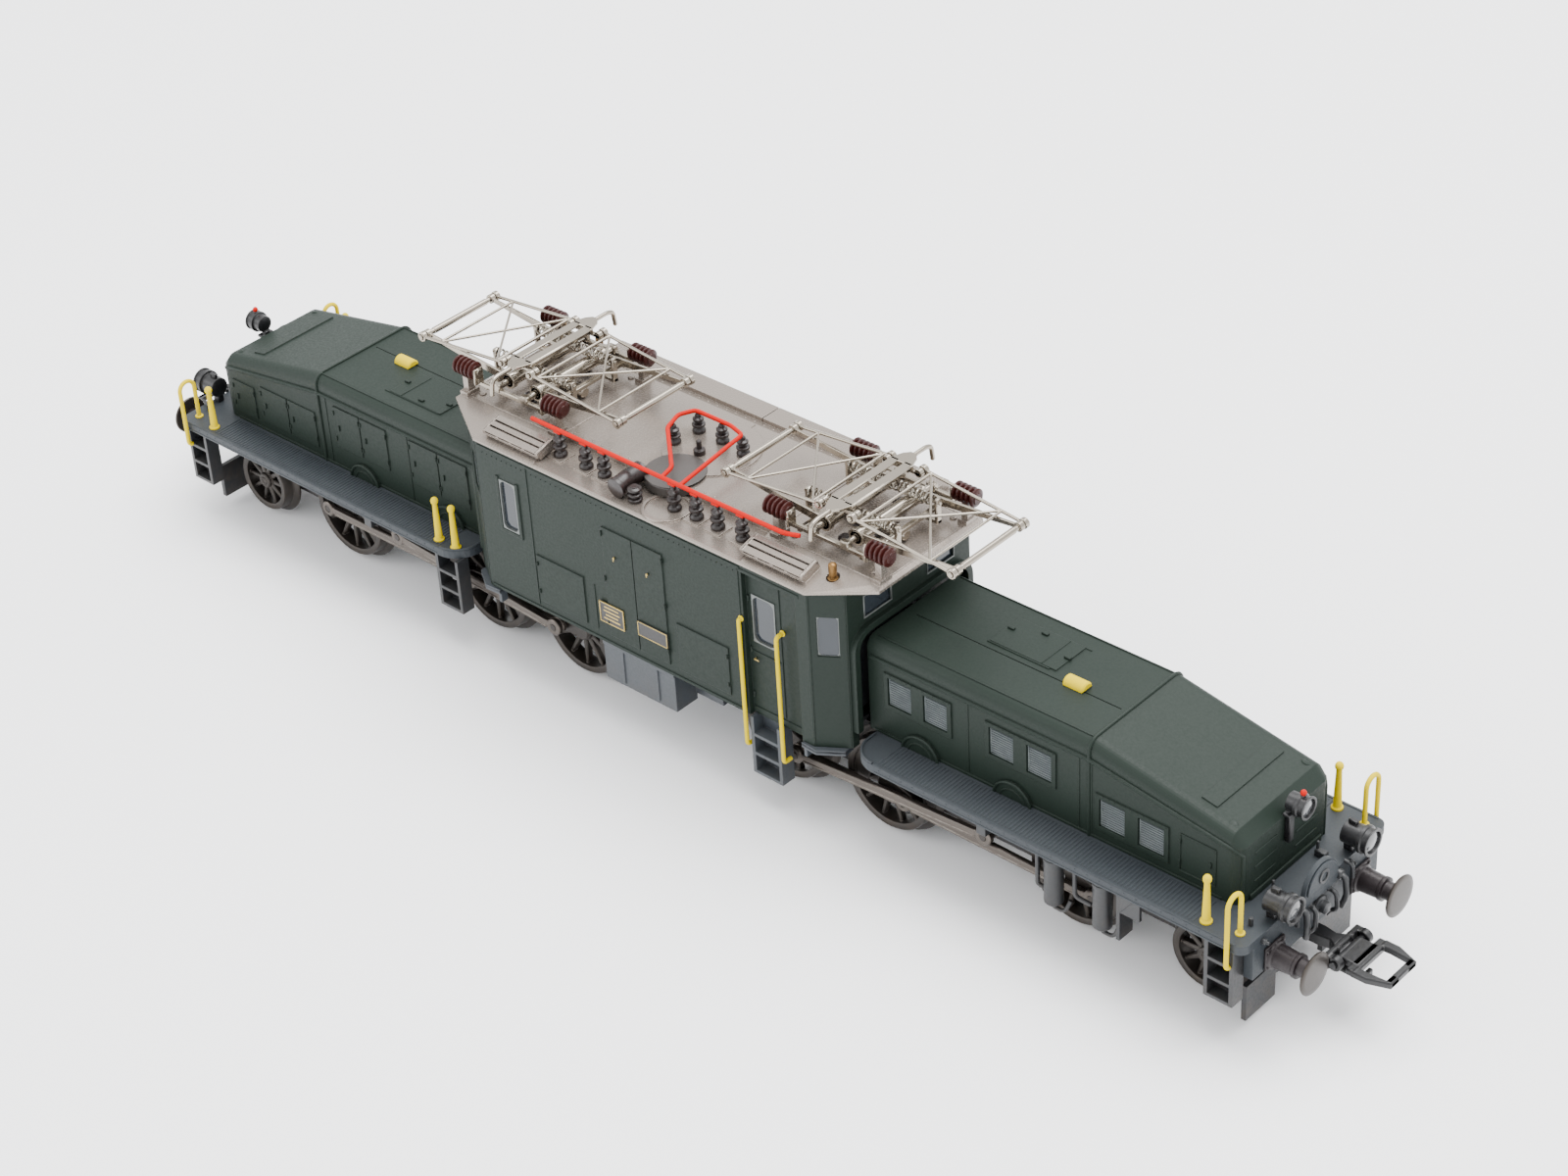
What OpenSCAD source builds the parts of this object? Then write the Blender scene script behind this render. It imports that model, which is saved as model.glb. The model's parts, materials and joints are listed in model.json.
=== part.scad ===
// Three-section articulated electric locomotive, H0 scale (1:87), all sizes in mm.
// X runs along the track, Y across it, Z up; z = 0 is the lowest point of the wheel flanges.
// The origin is under the middle of the locomotive. End 1 is at +X, end 2 at -X.

/* [Running gear] */
// Radius of the driving wheels on the tread
driver_r = 7.75; // [7.4:0.05:8]
// Radius of the carrying wheels on the tread
carrier_r = 5.45; // [5:0.05:5.7]
// Height of the wheel flanges over the tread
flange_h = 1.1; // [0.8:0.05:1.1]
// Distance between the backs of two wheels on one axle
back_to_back = 14.3; // [14:0.05:14.4]
// Width of a wheel, flange included
wheel_w = 2.8; // [2.5:0.05:2.8]
// Crank radius of the driving wheels and jackshafts
crank_r = 3.9; // [3.4:0.1:4.1]
// Radius of the axles
axle_r = 1; // [0.9:0.05:1.2]
// Radial clearance of axles and pins in their bores
running_gap = 0.05; // [0.03:0.01:0.08]

/* [Bogies] */
// Distance of the bogie pivot from the middle
pivot_x = 36; // [35.5:0.1:36.5]
// Half width of the running deck
deck_y = 16.95; // [16.5:0.05:17.2]
// Height of the deck surface
deck_z = 18.4; // [18.3:0.1:18.6]
// Half width of the hood
hood_y = 10.4; // [10.2:0.1:10.6]
// Height of the flat hood roof
hood_z = 34.4; // [34:0.1:34.6]
// Height of the hood roof at the nose front
nose_z = 29.6; // [29:0.1:30]
// Height of the buffers
buffer_z = 13.3; // [13:0.1:13.5]
// Distance between the two buffers of one end
buffer_spacing = 20.1; // [19.6:0.1:20.6]
// Length over the buffers
buffer_length = 230.6; // [230:0.1:232]

/* [Centre body] */
// Half width of the side walls
body_y = 16.5; // [16.3:0.05:16.6]
// Half length over the end walls
body_x = 38.2; // [38:0.05:38.3]
// Lower edge of the side walls
body_z0 = 16; // [15.8:0.1:16]
// Upper edge of the side walls
body_z1 = 42.6; // [42.4:0.1:42.7]
// Height of the flat roof
roof_z = 44.6; // [44.4:0.1:44.8]

/* [Pantographs] */
// Distance of each pantograph's middle from the middle of the locomotive
panto_x = 31.9; // [31.5:0.1:32]
// Height of the arm shafts
shaft_z = 47.8; // [47.6:0.1:47.9]
// Height of the knees when the pantograph is down
knee_z = 49.6; // [49.5:0.1:49.7]
// Half distance between the two arm shafts
shaft_dx = 3; // [2.8:0.1:3.2]
// Distance from the pantograph's middle to its knees when down
knee_dx = 21; // [20.5:0.1:21.5]

/* [Hidden] */
$fn = 48;

green = "#56635a";
roof_grey = "#aaa9a0";
deck_grey = "#5c6570";
dark_grey = "#4a4d50";
wheel_dark = "#3c3836";
steel = "#8d8880";
nickel = "#d8d2c4";
yellow = "#e8c92a";
bus_red = "#d8402c";
insulator_black = "#2a2426";
insulator_brown = "#5a2420";
brass = "#b89a50";
louvre_grey = "#9aa0a0";
glass_blue = "#a8b4bc";

// Axle positions along a bogie, from the middle of the locomotive
carrier_x = 97.5;
driver_x = [75.4, 41.3, 21.4];
jack_x = 57;
jack_z = 11.2;
driver_z = driver_r + flange_h;
carrier_z = carrier_r + flange_h;
wheel_y0 = back_to_back / 2;
wheel_y1 = wheel_y0 + wheel_w;

// Layers outside the wheels: coupling rod, then slanted rod
rod_y0 = 10.35;
rod_t = 0.75;
slant_y0 = 11.3;
pin_r = 0.6;
pin_y1 = 12.3;

// Crank angles (degrees above level, towards the buffer end) on the own -y and +y sides
crank_1 = [-15, 75];
crank_2 = [-90, 0];

// Bogie frame
frame_y1 = 6.3;
frame_y0 = 5;
frame_low_z = 15.2;
frame_top_z = deck_z - 1.4;
beam_x = 108.5;
buffer_y = buffer_spacing / 2;

// Hood
hood_x0 = 39;
kink_x = 78.3;
nose_x = 103.2;
wall = 0.8;
eave_r = 1.8;

// Gear pair: jackshaft wheel and motor pinion
gear_m = 0.4;
jack_teeth = 24;
pinion_teeth = 10;
gear_y0 = 2.6;
gear_w = 1.6;
motor_z = jack_z + gear_m * (jack_teeth + pinion_teeth) / 2;

// Centre body plan: the cab corners are cut at an angle
corner_x = 33.4;
corner_y = 13.4;
door_x0 = 21;
door_x1 = 31.2;
door_in = 0.9;
arch_y = 12;
arch_z = 35;

// Roof
trough_z = 43;
trough_x = 21;
bus_y = -12.3;
bus_z = 47.6;

// Pantograph
head_z = 2 * knee_z - shaft_z;
arm_len = sqrt(pow(knee_dx - shaft_dx, 2) + pow(knee_z - shaft_z, 2));
arm_angle = atan((knee_z - shaft_z) / (knee_dx - shaft_dx));
insulator_dx = 9.5;
insulator_y = 9.4;
insulator_z = 49;
insulator_len = 4.2;
insulator_r = 1.45;
strip_z = 51.9;

// ---------------------------------------------------------------- helpers

// A box from one corner to the opposite one
module span(a, b) {
    translate(a) cube([b[0] - a[0], b[1] - a[1], b[2] - a[2]]);
}

// A cylinder lying along Y from y0 to y1
module bar_y(x, z, r, y0, y1) {
    translate([x, y0, z]) rotate([-90, 0, 0]) cylinder(r = r, h = y1 - y0);
}

// A cylinder lying along X from x0 to x1
module bar_x(y, z, r, x0, x1) {
    translate([x0, y, z]) rotate([0, 90, 0]) cylinder(r = r, h = x1 - x0);
}

// A thin twelve-sided rod from point a to point b
module rod(a, b, r) {
    d = b - a;
    len = norm(d);
    translate(a)
        rotate([0, acos(d[2] / len), atan2(d[1], d[0])])
            cylinder(r = r, h = len, $fn = 12);
}

// A bent wire along a list of points, each straight run on a little past the bends
module wire(points, r) {
    last = len(points) - 1;
    for (i = [0 : last - 1]) {
        u = (points[i + 1] - points[i]) / norm(points[i + 1] - points[i]);
        before = i > 0 ? r * 0.6 : 0;
        after = i < last - 1 ? r * 0.6 : 0;
        rod(points[i] - before * u, points[i + 1] + after * u, r);
    }
}

// The same thing at the other end, turned half a turn
module end_2() { rotate([0, 0, 180]) children(); }

module both_ends() { children(); end_2() children(); }

module both_sides() { children(); mirror([0, 1, 0]) children(); }

// ---------------------------------------------------------------- wheels

// Opening between two spokes, on a wheel lying on its Y axis
module spoke_window(r_in, r_out, pitch) {
    half = tan(pitch / 2);
    spoke = 0.42;
    translate([0, wheel_y1 + 1, 0])
        rotate([90, 0, 0])
            linear_extrude(height = wheel_w + 2)
                polygon([
                    [r_in, -r_in * half + spoke], [r_out, -r_out * half + spoke],
                    [r_out, r_out * half - spoke], [r_in, r_in * half - spoke]
                ]);
}

// One wheel with its flange at wheel_y0; with a crank, the side away from it stays filled
module wheel(r, spokes, crank) {
    web_y0 = wheel_y0 + 0.7;
    web_y1 = web_y0 + 1.2;
    rim_in = r - 1.1;
    pitch = 360 / spokes;
    difference() {
        union() {
            bar_y(0, 0, r + flange_h, wheel_y0, wheel_y0 + 0.8);
            bar_y(0, 0, r, wheel_y0, wheel_y1);
        }
        difference() {
            bar_y(0, 0, rim_in, wheel_y0 - 1, wheel_y1 + 1);
            bar_y(0, 0, rim_in + 1, web_y0, web_y1);
            bar_y(0, 0, r * 0.24, wheel_y0, wheel_y1 - 0.1);
        }
        for (i = [0 : spokes - 1])
            if (!crank || abs((i + 0.5) * pitch - 180) > 50)
                rotate([0, -(i + 0.5) * pitch, 0])
                    spoke_window(r * 0.24 + 0.9, rim_in - 0.25, pitch);
    }
}

// Crank pin up to y1 and its boss, at angle a (degrees above level) on the +y side
module crank_boss(a, y1) {
    rotate([0, -a, 0]) {
        bar_y(crank_r, 0, 1.3, wheel_y0 + 0.9, wheel_y1 + 0.2);
        bar_y(crank_r, 0, pin_r, wheel_y1, y1);
        span([0.2, wheel_y0 + 0.9, -0.8], [crank_r, wheel_y1 - 0.3, 0.8]);
    }
}

// Wheelset of a driving axle; only the inner one's pins reach through the slanted rod
module driver(n, cranks) {
    y1 = n == 2 ? pin_y1 : slant_y0 - 0.12;
    translate([driver_x[n], 0, driver_z]) {
        bar_y(0, 0, axle_r, -wheel_y0 - 0.5, wheel_y0 + 0.5);
        rotate([0, -cranks[1], 0]) wheel(driver_r, 12, true);
        crank_boss(cranks[1], y1);
        mirror([0, 1, 0]) {
            rotate([0, -cranks[0], 0]) wheel(driver_r, 12, true);
            crank_boss(cranks[0], y1);
        }
    }
}

// Wheelset of the carrying axle
module carrier() {
    translate([carrier_x, 0, carrier_z]) {
        bar_y(0, 0, axle_r, -wheel_y0 - 0.5, wheel_y0 + 0.5);
        both_sides() wheel(carrier_r, 10, false);
        both_sides() bar_y(0, 0, 0.6, wheel_y1 - 0.5, wheel_y1 + 0.5);
    }
}

// Spur gear on a Y axis with straight-flanked teeth; phase turns it in tooth pitches
module spur_gear(teeth, phase, y0, w, bore) {
    r = gear_m * teeth / 2;
    root_r = r - 0.62 * gear_m * 1.9;
    tip_r = r + 0.8 * gear_m;
    tooth = 360 / teeth;
    translate([0, y0 + w, 0])
        rotate([90, 0, 0])
            linear_extrude(height = w)
                difference() {
                    union() {
                        circle(r = root_r);
                        for (i = [0 : teeth - 1])
                            rotate((i + phase) * tooth)
                                polygon([
                                    [root_r - 0.3, -gear_m * 0.85],
                                    [root_r, -gear_m * 0.85],
                                    [tip_r, -gear_m * 0.3],
                                    [tip_r, gear_m * 0.3],
                                    [root_r, gear_m * 0.85],
                                    [root_r - 0.3, gear_m * 0.85]
                                ]);
                    }
                    if (bore > 0) circle(r = bore);
                }
}

// Jackshaft with its outside cranks; the gear wheel is on the driven one
module jackshaft(cranks, geared) {
    translate([jack_x, 0, jack_z]) {
        bar_y(0, 0, axle_r, -wheel_y1, wheel_y1);
        for (s = [0, 1])
            mirror([0, 1 - s, 0])
                rotate([0, -cranks[s], 0]) {
                    bar_y(0, 0, 3.2, wheel_y0 + 0.4, wheel_y1 + 0.2);
                    bar_y(crank_r, 0, 1.2, wheel_y1 - 1.2, slant_y0 - 0.15);
                    span([0, wheel_y1 - 1.2, -1.5], [crank_r, wheel_y1 + 0.2, 1.5]);
                    bar_y(crank_r, 0, pin_r, wheel_y1 - 1.2, pin_y1);
                }
        if (geared) spur_gear(jack_teeth, 0, gear_y0, gear_w, 0);
    }
}

// One flat rod in the XZ plane with an eye at each crank pin
module flat_rod(points, y0, half_h, eye_r) {
    difference() {
        union() {
            for (i = [0 : len(points) - 2]) {
                d = points[i + 1] - points[i];
                translate([points[i][0], y0, points[i][1]])
                    rotate([0, -atan2(d[1], d[0]), 0])
                        span([0, 0, -half_h], [norm(d), rod_t, half_h]);
            }
            for (p = points) bar_y(p[0], p[1], eye_r, y0, y0 + rod_t);
        }
        for (p = points) bar_y(p[0], p[1], pin_r + running_gap, y0 - 1, y0 + rod_t + 1);
    }
}

// Coupling rod and slanted rod of one side, on the +y side
module rods(a) {
    c = [crank_r * cos(a), crank_r * sin(a)];
    level = [for (x = driver_x) [x, driver_z] + c];
    flat_rod(level, rod_y0, 0.75, 1.35);
    flat_rod([[jack_x, jack_z] + c, level[2]], slant_y0, 0.8, 1.45);
}

// ---------------------------------------------------------------- bogie

// Die-cast bogie frame: two side plates, cross members and pivot block
module bogie_frame() {
    difference() {
        union() {
            both_sides() {
                span([15, frame_y0, 6], [40.6, frame_y1, frame_low_z]);
                span([40.6, frame_y0, 5.2], [104, frame_y1, frame_top_z]);
            }
            span([15, -frame_y0, 10.6], [17.6, frame_y0, frame_low_z]);
            span([30, -frame_y0, 12], [46, frame_y0, frame_low_z]);
            translate([pivot_x, 0, frame_low_z]) cylinder(r = 2.8, h = body_z0 - frame_low_z);
            span([47.6, -frame_y0, 11.5], [51.2, frame_y0, 14.8]);
            span([62.8, -frame_y0, 11.5], [66.4, frame_y0, 14.8]);
            span([47.6, -frame_y0, 14.8], [48.8, frame_y0, frame_top_z]);
            span([65.2, -frame_y0, 14.8], [66.4, frame_y0, frame_top_z]);
            span([84, -frame_y0, 8], [88, frame_y0, frame_top_z]);
            span([100.5, -frame_y0, 12], [107, frame_y0, frame_top_z]);
            both_sides() span([104, frame_y0, 11.4], [107, frame_y1, frame_top_z]);
        }
        for (x = driver_x) bar_y(x, driver_z, axle_r + running_gap, -8, 8);
        bar_y(jack_x, jack_z, axle_r + running_gap, -8, 8);
        bar_y(carrier_x, carrier_z, axle_r + running_gap, -8, 8);
        translate([pivot_x, 0, 11]) cylinder(r = 1.08, h = 8);
        translate([104.6, 0, 11]) cylinder(r = 0.86, h = 4);
    }
}

// Ladder of steps under the deck: x0 to x1 wide, z0 to the deck, on the +y side
module ladder(x0, x1, z0, z1, treads) {
    y0 = 14.4;
    y1 = deck_y - 0.15;
    span([x0, y0, z0], [x0 + 0.6, y1, z1]);
    span([x1 - 0.6, y0, z0], [x1, y1, z1]);
    for (i = [0 : treads - 1]) {
        z = z0 + i * (z1 - z0) / treads;
        span([x0, y0, z], [x1, y1, z + 0.5]);
    }
    span([x0, y0, z0], [x1, y0 + 0.4, z0 + 1.4]);
}

// Air cylinder hanging under the deck, on the -y side
module air_cylinder(x) {
    translate([x, -14.3, 7.2])
        rotate_extrude()
            polygon([[0, 0], [0.8, 0], [1.4, 0.6], [1.4, 9.8], [0, 9.8]]);
}

// Running deck with openings under the hood, buffer beam and the half-round fall plate
module deck() {
    z0 = frame_top_z;
    difference() {
        hull()
            for (s = [-1, 1]) {
                translate([44.7, s * (deck_y - 4.5), z0]) cylinder(r = 4.5, h = 1.4, $fn = 32);
                translate([beam_x - 1.5, s * (deck_y - 1.5), z0])
                    cylinder(r = 1.5, h = 1.4, $fn = 32);
            }
        for (x = [[38, 48], [50.5, 66.5], [69.5, 86], [89, 101]])
            span([x[0], -9.4, z0 - 1], [x[1], 9.4, deck_z + 1]);
    }
    span([107, -14.6, 11.6], [beam_x, 14.6, z0 + 0.2]);
    intersection() {
        bar_x(0, deck_z + 0.4, 3.9, beam_x - 0.1, beam_x + 0.6);
        span([beam_x - 0.2, -4, deck_z - 1.4], [beam_x + 1, 4, deck_z + 5]);
    }
}

// Rail guard bent out over the rail, on the +y side, hung from the end of the frame
module rail_guard() {
    span([105.4, 3.4, 5.4], [106.2, 12.4, 7.6]);
    span([105.4, 5.6, 1.6], [106.2, 12.4, 7]);
    span([105.4, 3.4, 5.4], [106.2, frame_y1, 11.4]);
}

// Fittings under the deck: ladders, air cylinders, pipe bracket, hangers and rail guards
module fittings() {
    z1 = frame_top_z;
    both_sides() ladder(102.2, 106.9, 7.4, z1, 3);
    ladder(40.9, 46, 7.2, z1, 3);
    for (x = [75.2, 83.6]) air_cylinder(x);
    span([86.7, -15.4, 7.6], [87.3, -12.4, z1]);
    span([86.7, -15.4, 12.6], [90.6, -14.9, z1]);
    both_sides() {
        span([91.5, 10.9, 13.4], [101.5, 11.9, z1]);
        span([62.6, 12.6, 14.2], [64.2, 15.6, z1]);
        rail_guard();
    }
}

// Hood cross-section, narrowed by the inset on the sides and the top
module hood_section(top, inset) {
    r = eave_r - inset * 0.7;
    half = hood_y - inset;
    hull() {
        for (s = [-1, 1])
            translate([s * (half - r), top - inset - r]) circle(r = r, $fn = 32);
        translate([-half, deck_z - inset * 2]) square([2 * half, 0.1]);
    }
}

// A thin slice of that section standing at x
module hood_slice(x, top, inset) {
    translate([x, 0, 0])
        rotate([90, 0, 90])
            linear_extrude(height = 0.1) hood_section(top, inset);
}

// The nose slopes down to a front with rounded corners
module nose(inset) {
    front = nose_x - inset;
    half = hood_y - inset;
    hull() {
        hood_slice(kink_x - 0.05, hood_z, inset);
        hood_slice(front - eave_r, nose_z + 0.3, inset);
        for (s = [-1, 1])
            translate([front - eave_r, s * (half - eave_r), deck_z - inset * 2])
                cylinder(r = eave_r, h = nose_z - 1.7 - deck_z + inset, $fn = 32);
    }
}

module hood_body(inset) {
    x0 = hood_x0 + inset;
    translate([x0, 0, 0])
        rotate([90, 0, 90])
            linear_extrude(height = kink_x - x0) hood_section(hood_z, inset);
    nose(inset);
}

// Louvre positions on the -y side: centre along X and lower edge
louvres = [[44.9, 24.3], [51.4, 24.3], [63.2, 24.3], [69.8, 24.3], [82.3, 21], [88.8, 21]];
louvre_w = 4.3;
louvre_h = 4.7;

// Door leaves on the +y side: from, to, lower and upper edge
leaves = [
    [43.4, 49.9, 22.6, 30.6], [50.2, 56.7, 22.6, 30.6], [62.2, 68.3, 22.6, 30.2],
    [68.6, 74.7, 22.6, 30.2], [79.8, 86.5, 20.4, 27], [86.8, 93.4, 20.4, 27],
    [95.2, 100.6, 20, 26]
];

// Panel frame around a pair of louvres
module louvre_frame(x0, x1, z0) {
    difference() {
        span([x0, -hood_y - 0.25, z0], [x1, -hood_y + 0.2, z0 + louvre_h + 1.4]);
        for (l = louvres)
            span([l[0] - louvre_w / 2, -hood_y - 1, l[1]],
                 [l[0] + louvre_w / 2, -hood_y + 1, l[1] + louvre_h]);
    }
}

// Green hood: flat engine room, sloping nose, louvre frames, doors, hatch and seams
module hood() {
    difference() {
        union() {
            hood_body(0);
            louvre_frame(42, 54.3, 23.6);
            louvre_frame(60.3, 72.7, 23.6);
            louvre_frame(79.4, 91.7, 20.3);
            for (d = leaves)
                span([d[0], hood_y - 0.2, d[2]], [d[1], hood_y + 0.2, d[3]]);
            for (s = [-1, 1])
                translate([hood_x0 + 1, s * (hood_y + 0.1) - 0.15, 31.2])
                    cube([kink_x - hood_x0 - 1, 0.3, 0.45]);
            span([kink_x, -hood_y - 0.1, deck_z], [kink_x + 0.5, hood_y + 0.1, 31]);
            span([53.2, -0.6, hood_z - 0.3], [65, 6.2, hood_z + 0.2]);
            translate([96, 0, 30.95])
                rotate([0, 11, 0]) span([-1.3, -7.6, -0.7], [1.3, 7.6, 0.22]);
            for (x = [48.6, 65.2])
                intersection() {
                    translate([x, -hood_y - 0.5, deck_z - 0.6]) rotate([-90, 0, 0])
                        cylinder(r = 3.3, h = 1);
                    span([x - 4, -hood_y - 1, deck_z], [x + 4, -hood_y + 1, deck_z + 4]);
                }
            for (x = [48.6, 68.6])
                intersection() {
                    translate([x, hood_y - 0.5, deck_z - 0.6]) rotate([-90, 0, 0])
                        cylinder(r = 3.3, h = 1);
                    span([x - 4, hood_y - 1, deck_z], [x + 4, hood_y + 1, deck_z + 4]);
                }
            bar_x(-1.4, hood_z + 0.1, 0.9, 67.6, 71);
        }
        hood_body(wall);
        for (l = louvres)
            span([l[0] - louvre_w / 2, -hood_y - 1, l[1]],
                 [l[0] + louvre_w / 2, -hood_y + 2, l[1] + louvre_h]);
        span([hood_x0 + 2, -2.1, hood_z - 0.15], [kink_x - 1, -1.9, hood_z + 0.1]);
        span([kink_x - 0.1, -9, hood_z - 0.15], [kink_x + 0.1, 9, hood_z + 1]);
    }
}

// Light louvre inserts, six per hood
module grilles() {
    for (l = louvres) {
        x0 = l[0] - louvre_w / 2;
        span([x0, -hood_y + 0.15, l[1]], [x0 + louvre_w, -hood_y + 0.75, l[1] + louvre_h]);
        for (i = [0 : 8])
            span([x0 + 0.15, -hood_y, l[1] + 0.3 + i * 0.48],
                 [x0 + louvre_w - 0.15, -hood_y + 0.2, l[1] + 0.55 + i * 0.48]);
    }
}

// One tapered post with a ball on top
module post(x, y) {
    translate([x, y, deck_z])
        rotate_extrude()
            polygon([[0, 0], [0.95, 0], [0.95, 0.35], [0.8, 0.5], [0.48, 6.9], [0, 6.9]]);
    translate([x, y, deck_z + 7.3]) sphere(r = 0.78);
}

// Grab hoop at the corner of the deck, outer leg fixed low on the ladder
module hoop() {
    x = 106.2;
    y_out = deck_y + 0.5;
    y_in = deck_y - 2.5;
    r = (y_out - y_in) / 2;
    rod([x, y_out, 14.2], [x, y_out, 24.4], 0.4);
    rod([x, y_in, deck_z], [x, y_in, 24.4], 0.4);
    rod([x, y_out, 14.2], [x, deck_y - 0.15, 14.2], 0.4);
    translate([x, y_out, 14.2]) sphere(r = 0.43);
    translate([x, (y_out + y_in) / 2, 24.4])
        rotate([90, 0, 90])
            rotate_extrude(angle = 180) translate([r, 0]) circle(r = 0.4, $fn = 20);
}

// Yellow posts and hoops of one bogie
module posts() {
    both_sides() post(101.3, 15.2);
    for (x = [42.6, 46.4]) post(x, 15.2);
    both_sides() hoop();
}

// Drum of a lamp along X with a stepped front rim
module lamp_drum(x0, x1, y, z, r) {
    difference() {
        union() {
            bar_x(y, z, r * 0.82, x0, x1);
            bar_x(y, z, r, x1 - 1.6, x1);
        }
        bar_x(y, z, r * 0.8, x1 - 0.5, x1 + 1);
    }
}

// Three lamps of one end: nose lamp on its stem and two on the deck
module lamps() {
    lamp_drum(103.4, 106.6, 0, 30.4, 1.75);
    span([nose_x, -0.6, 23.6], [nose_x + 0.9, 0.6, 29.2]);
    translate([105.6, 0, 32.6]) sphere(r = 0.45);
    translate([105.6, 0, 32]) cylinder(r = 0.3, h = 0.5);
    both_sides() {
        lamp_drum(106.6, 111.2, 9, 21.2, 2.1);
        span([106.8, 8.4, deck_z], [108.2, 9.6, 19.8]);
    }
}

// Buffers of one end: sleeve, plunger, collar plate and head
module buffers() {
    both_sides() {
        span([beam_x, buffer_y - 2.2, buffer_z - 1.65],
             [beam_x + 0.5, buffer_y + 2.2, buffer_z + 2.2]);
        bar_x(buffer_y, buffer_z, 1.8, beam_x + 0.5, 112.6);
        bar_x(buffer_y, buffer_z, 1.35, 112.6, buffer_length / 2 - 0.5);
        bar_x(buffer_y, buffer_z, 3.2, buffer_length / 2 - 0.6, buffer_length / 2);
    }
}

// Coupler: swinging shank on a pin with a cross head and a lower hook
module coupler() {
    translate([104.6, 0, 0]) {
        translate([0, 0, 9.2]) cylinder(r = 2, h = 1.9);
        translate([0, 0, 11.1]) cylinder(r = 0.8, h = 2.6);
    }
    span([104.6, -1.2, 9.2], [113, 1.2, 11.1]);
    difference() {
        span([112.4, -4, 8.6], [115, 4, 11.2]);
        bar_y(114.1, 10.1, 0.62, -5, 5);
        span([113.2, -2.9, 8], [116, 2.9, 12]);
    }
    span([112.4, -0.9, 6.2], [113.2, 0.9, 8.8]);
    span([112.4, -0.9, 6.2], [117.4, 0.9, 7]);
    span([116.6, -0.9, 6.2], [117.4, 0.9, 8]);
}

// Hinged coupling loop on its cross pin
module loop() {
    bar_y(114.1, 10.1, 0.55, -4.4, 4.4);
    difference() {
        union() {
            span([113.6, -2.7, 9.5], [118.6, 2.7, 10.7]);
            span([116, -4.2, 9.5], [119, 4.2, 10.7]);
            hull() {
                span([117.4, -4.2, 9.6], [117.6, 4.2, 10.7]);
                span([122.2, -3, 9.6], [122.5, 3, 10.7]);
            }
        }
        span([118.4, -2.8, 8], [121.5, 2.8, 12]);
    }
}

// Motor: drum, end caps and feet that rest on the frame's cross members
module motor_body() {
    difference() {
        union() {
            bar_y(jack_x, motor_z, 5.4, -4.5, 2.2);
            bar_y(jack_x, motor_z, 2.2, -4.9, 2.4);
            span([49, -4.2, 14.8], [65, 2, 15.8]);
        }
        bar_y(jack_x, motor_z, 0.75 + running_gap, -6, 3);
    }
}

// Motor shaft with its pinion
module pinion() {
    bar_y(jack_x, motor_z, 0.75, -5.1, gear_y0 + gear_w + 0.3);
    translate([jack_x, 0, motor_z]) spur_gear(pinion_teeth, 0, gear_y0, gear_w, 0);
}

// ---------------------------------------------------------------- centre body

// Plan of the body, inset from the outer walls
module body_plan(inset) {
    cx = corner_x - inset * 0.4;
    cy = corner_y - inset * 0.6;
    bx = body_x - inset;
    by = body_y - inset;
    polygon([
        [cx, by], [bx, cy], [bx, -cy], [cx, -by],
        [-cx, -by], [-bx, -cy], [-bx, cy], [-cx, by]
    ]);
}

// One opening cut through the angled cab corner, centred on its face
module corner_window(grow, depth0, depth1) {
    mid_x = (corner_x + body_x) / 2;
    mid_y = -(body_y + corner_y) / 2;
    turn = atan2(body_y - corner_y, body_x - corner_x);
    translate([mid_x, mid_y, 0])
        rotate([0, 0, turn])
            span([-1.6 - grow, depth0, 32 - grow], [1.6 + grow, depth1, 38.8 + grow]);
}

// Openings of one half of the body: near wall, angled corners, end wall
module half_windows(d0, d1) {
    span([-28.8, -body_y + d0, 28.6], [-25.4, -body_y + d1, 37.4]);
    span([22, -body_y + door_in + d0, 29.2], [26.4, -body_y + door_in + d1, 37.4]);
    corner_window(0, d0, d1);
    mirror([0, 1, 0]) corner_window(0, d0, d1);
    for (y = [[-9.8, -4], [4, 9.8]])
        span([body_x - d1, y[0], 37], [body_x - d0, y[1], 40.6]);
}

// Raised panel with a 0.2 step on the near wall
module panel(x0, x1, z0, z1) {
    span([x0, -body_y - 0.2, z0], [x1, -body_y + 0.2, z1]);
}

// Wall details that repeat on the other side, turned half a turn
module half_walls() {
    panel(-22.1, -12.1, 18, 26.4);
    panel(7.2, 17.5, 18, 26.4);
    panel(-7.1, -1, 18, 37.6);
    panel(-0.8, 5.2, 18, 37.6);
    panel(-29.5, -24.7, 27.9, 28.5);
    panel(-29.5, -28.9, 27.9, 37.8);
    panel(-25.3, -24.7, 27.9, 37.8);
    difference() {
        translate([body_x - 0.2, 0, 0])
            rotate([90, 0, 90])
                linear_extrude(height = 1.1)
                    difference() {
                        arch_outline(1.1);
                        arch_outline(0);
                    }
        span([body_x - 1, -15, 10], [body_x + 2, 15, deck_z + 0.4]);
    }
}

// Outline of the passage around the hood, grown by g
module arch_outline(g) {
    r = 2.6;
    hull() {
        for (s = [-1, 1]) translate([s * (arch_y - r), arch_z - r]) circle(r = r + g);
        translate([-arch_y - g, body_z0 - 1]) square([2 * (arch_y + g), 1]);
    }
}

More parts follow.
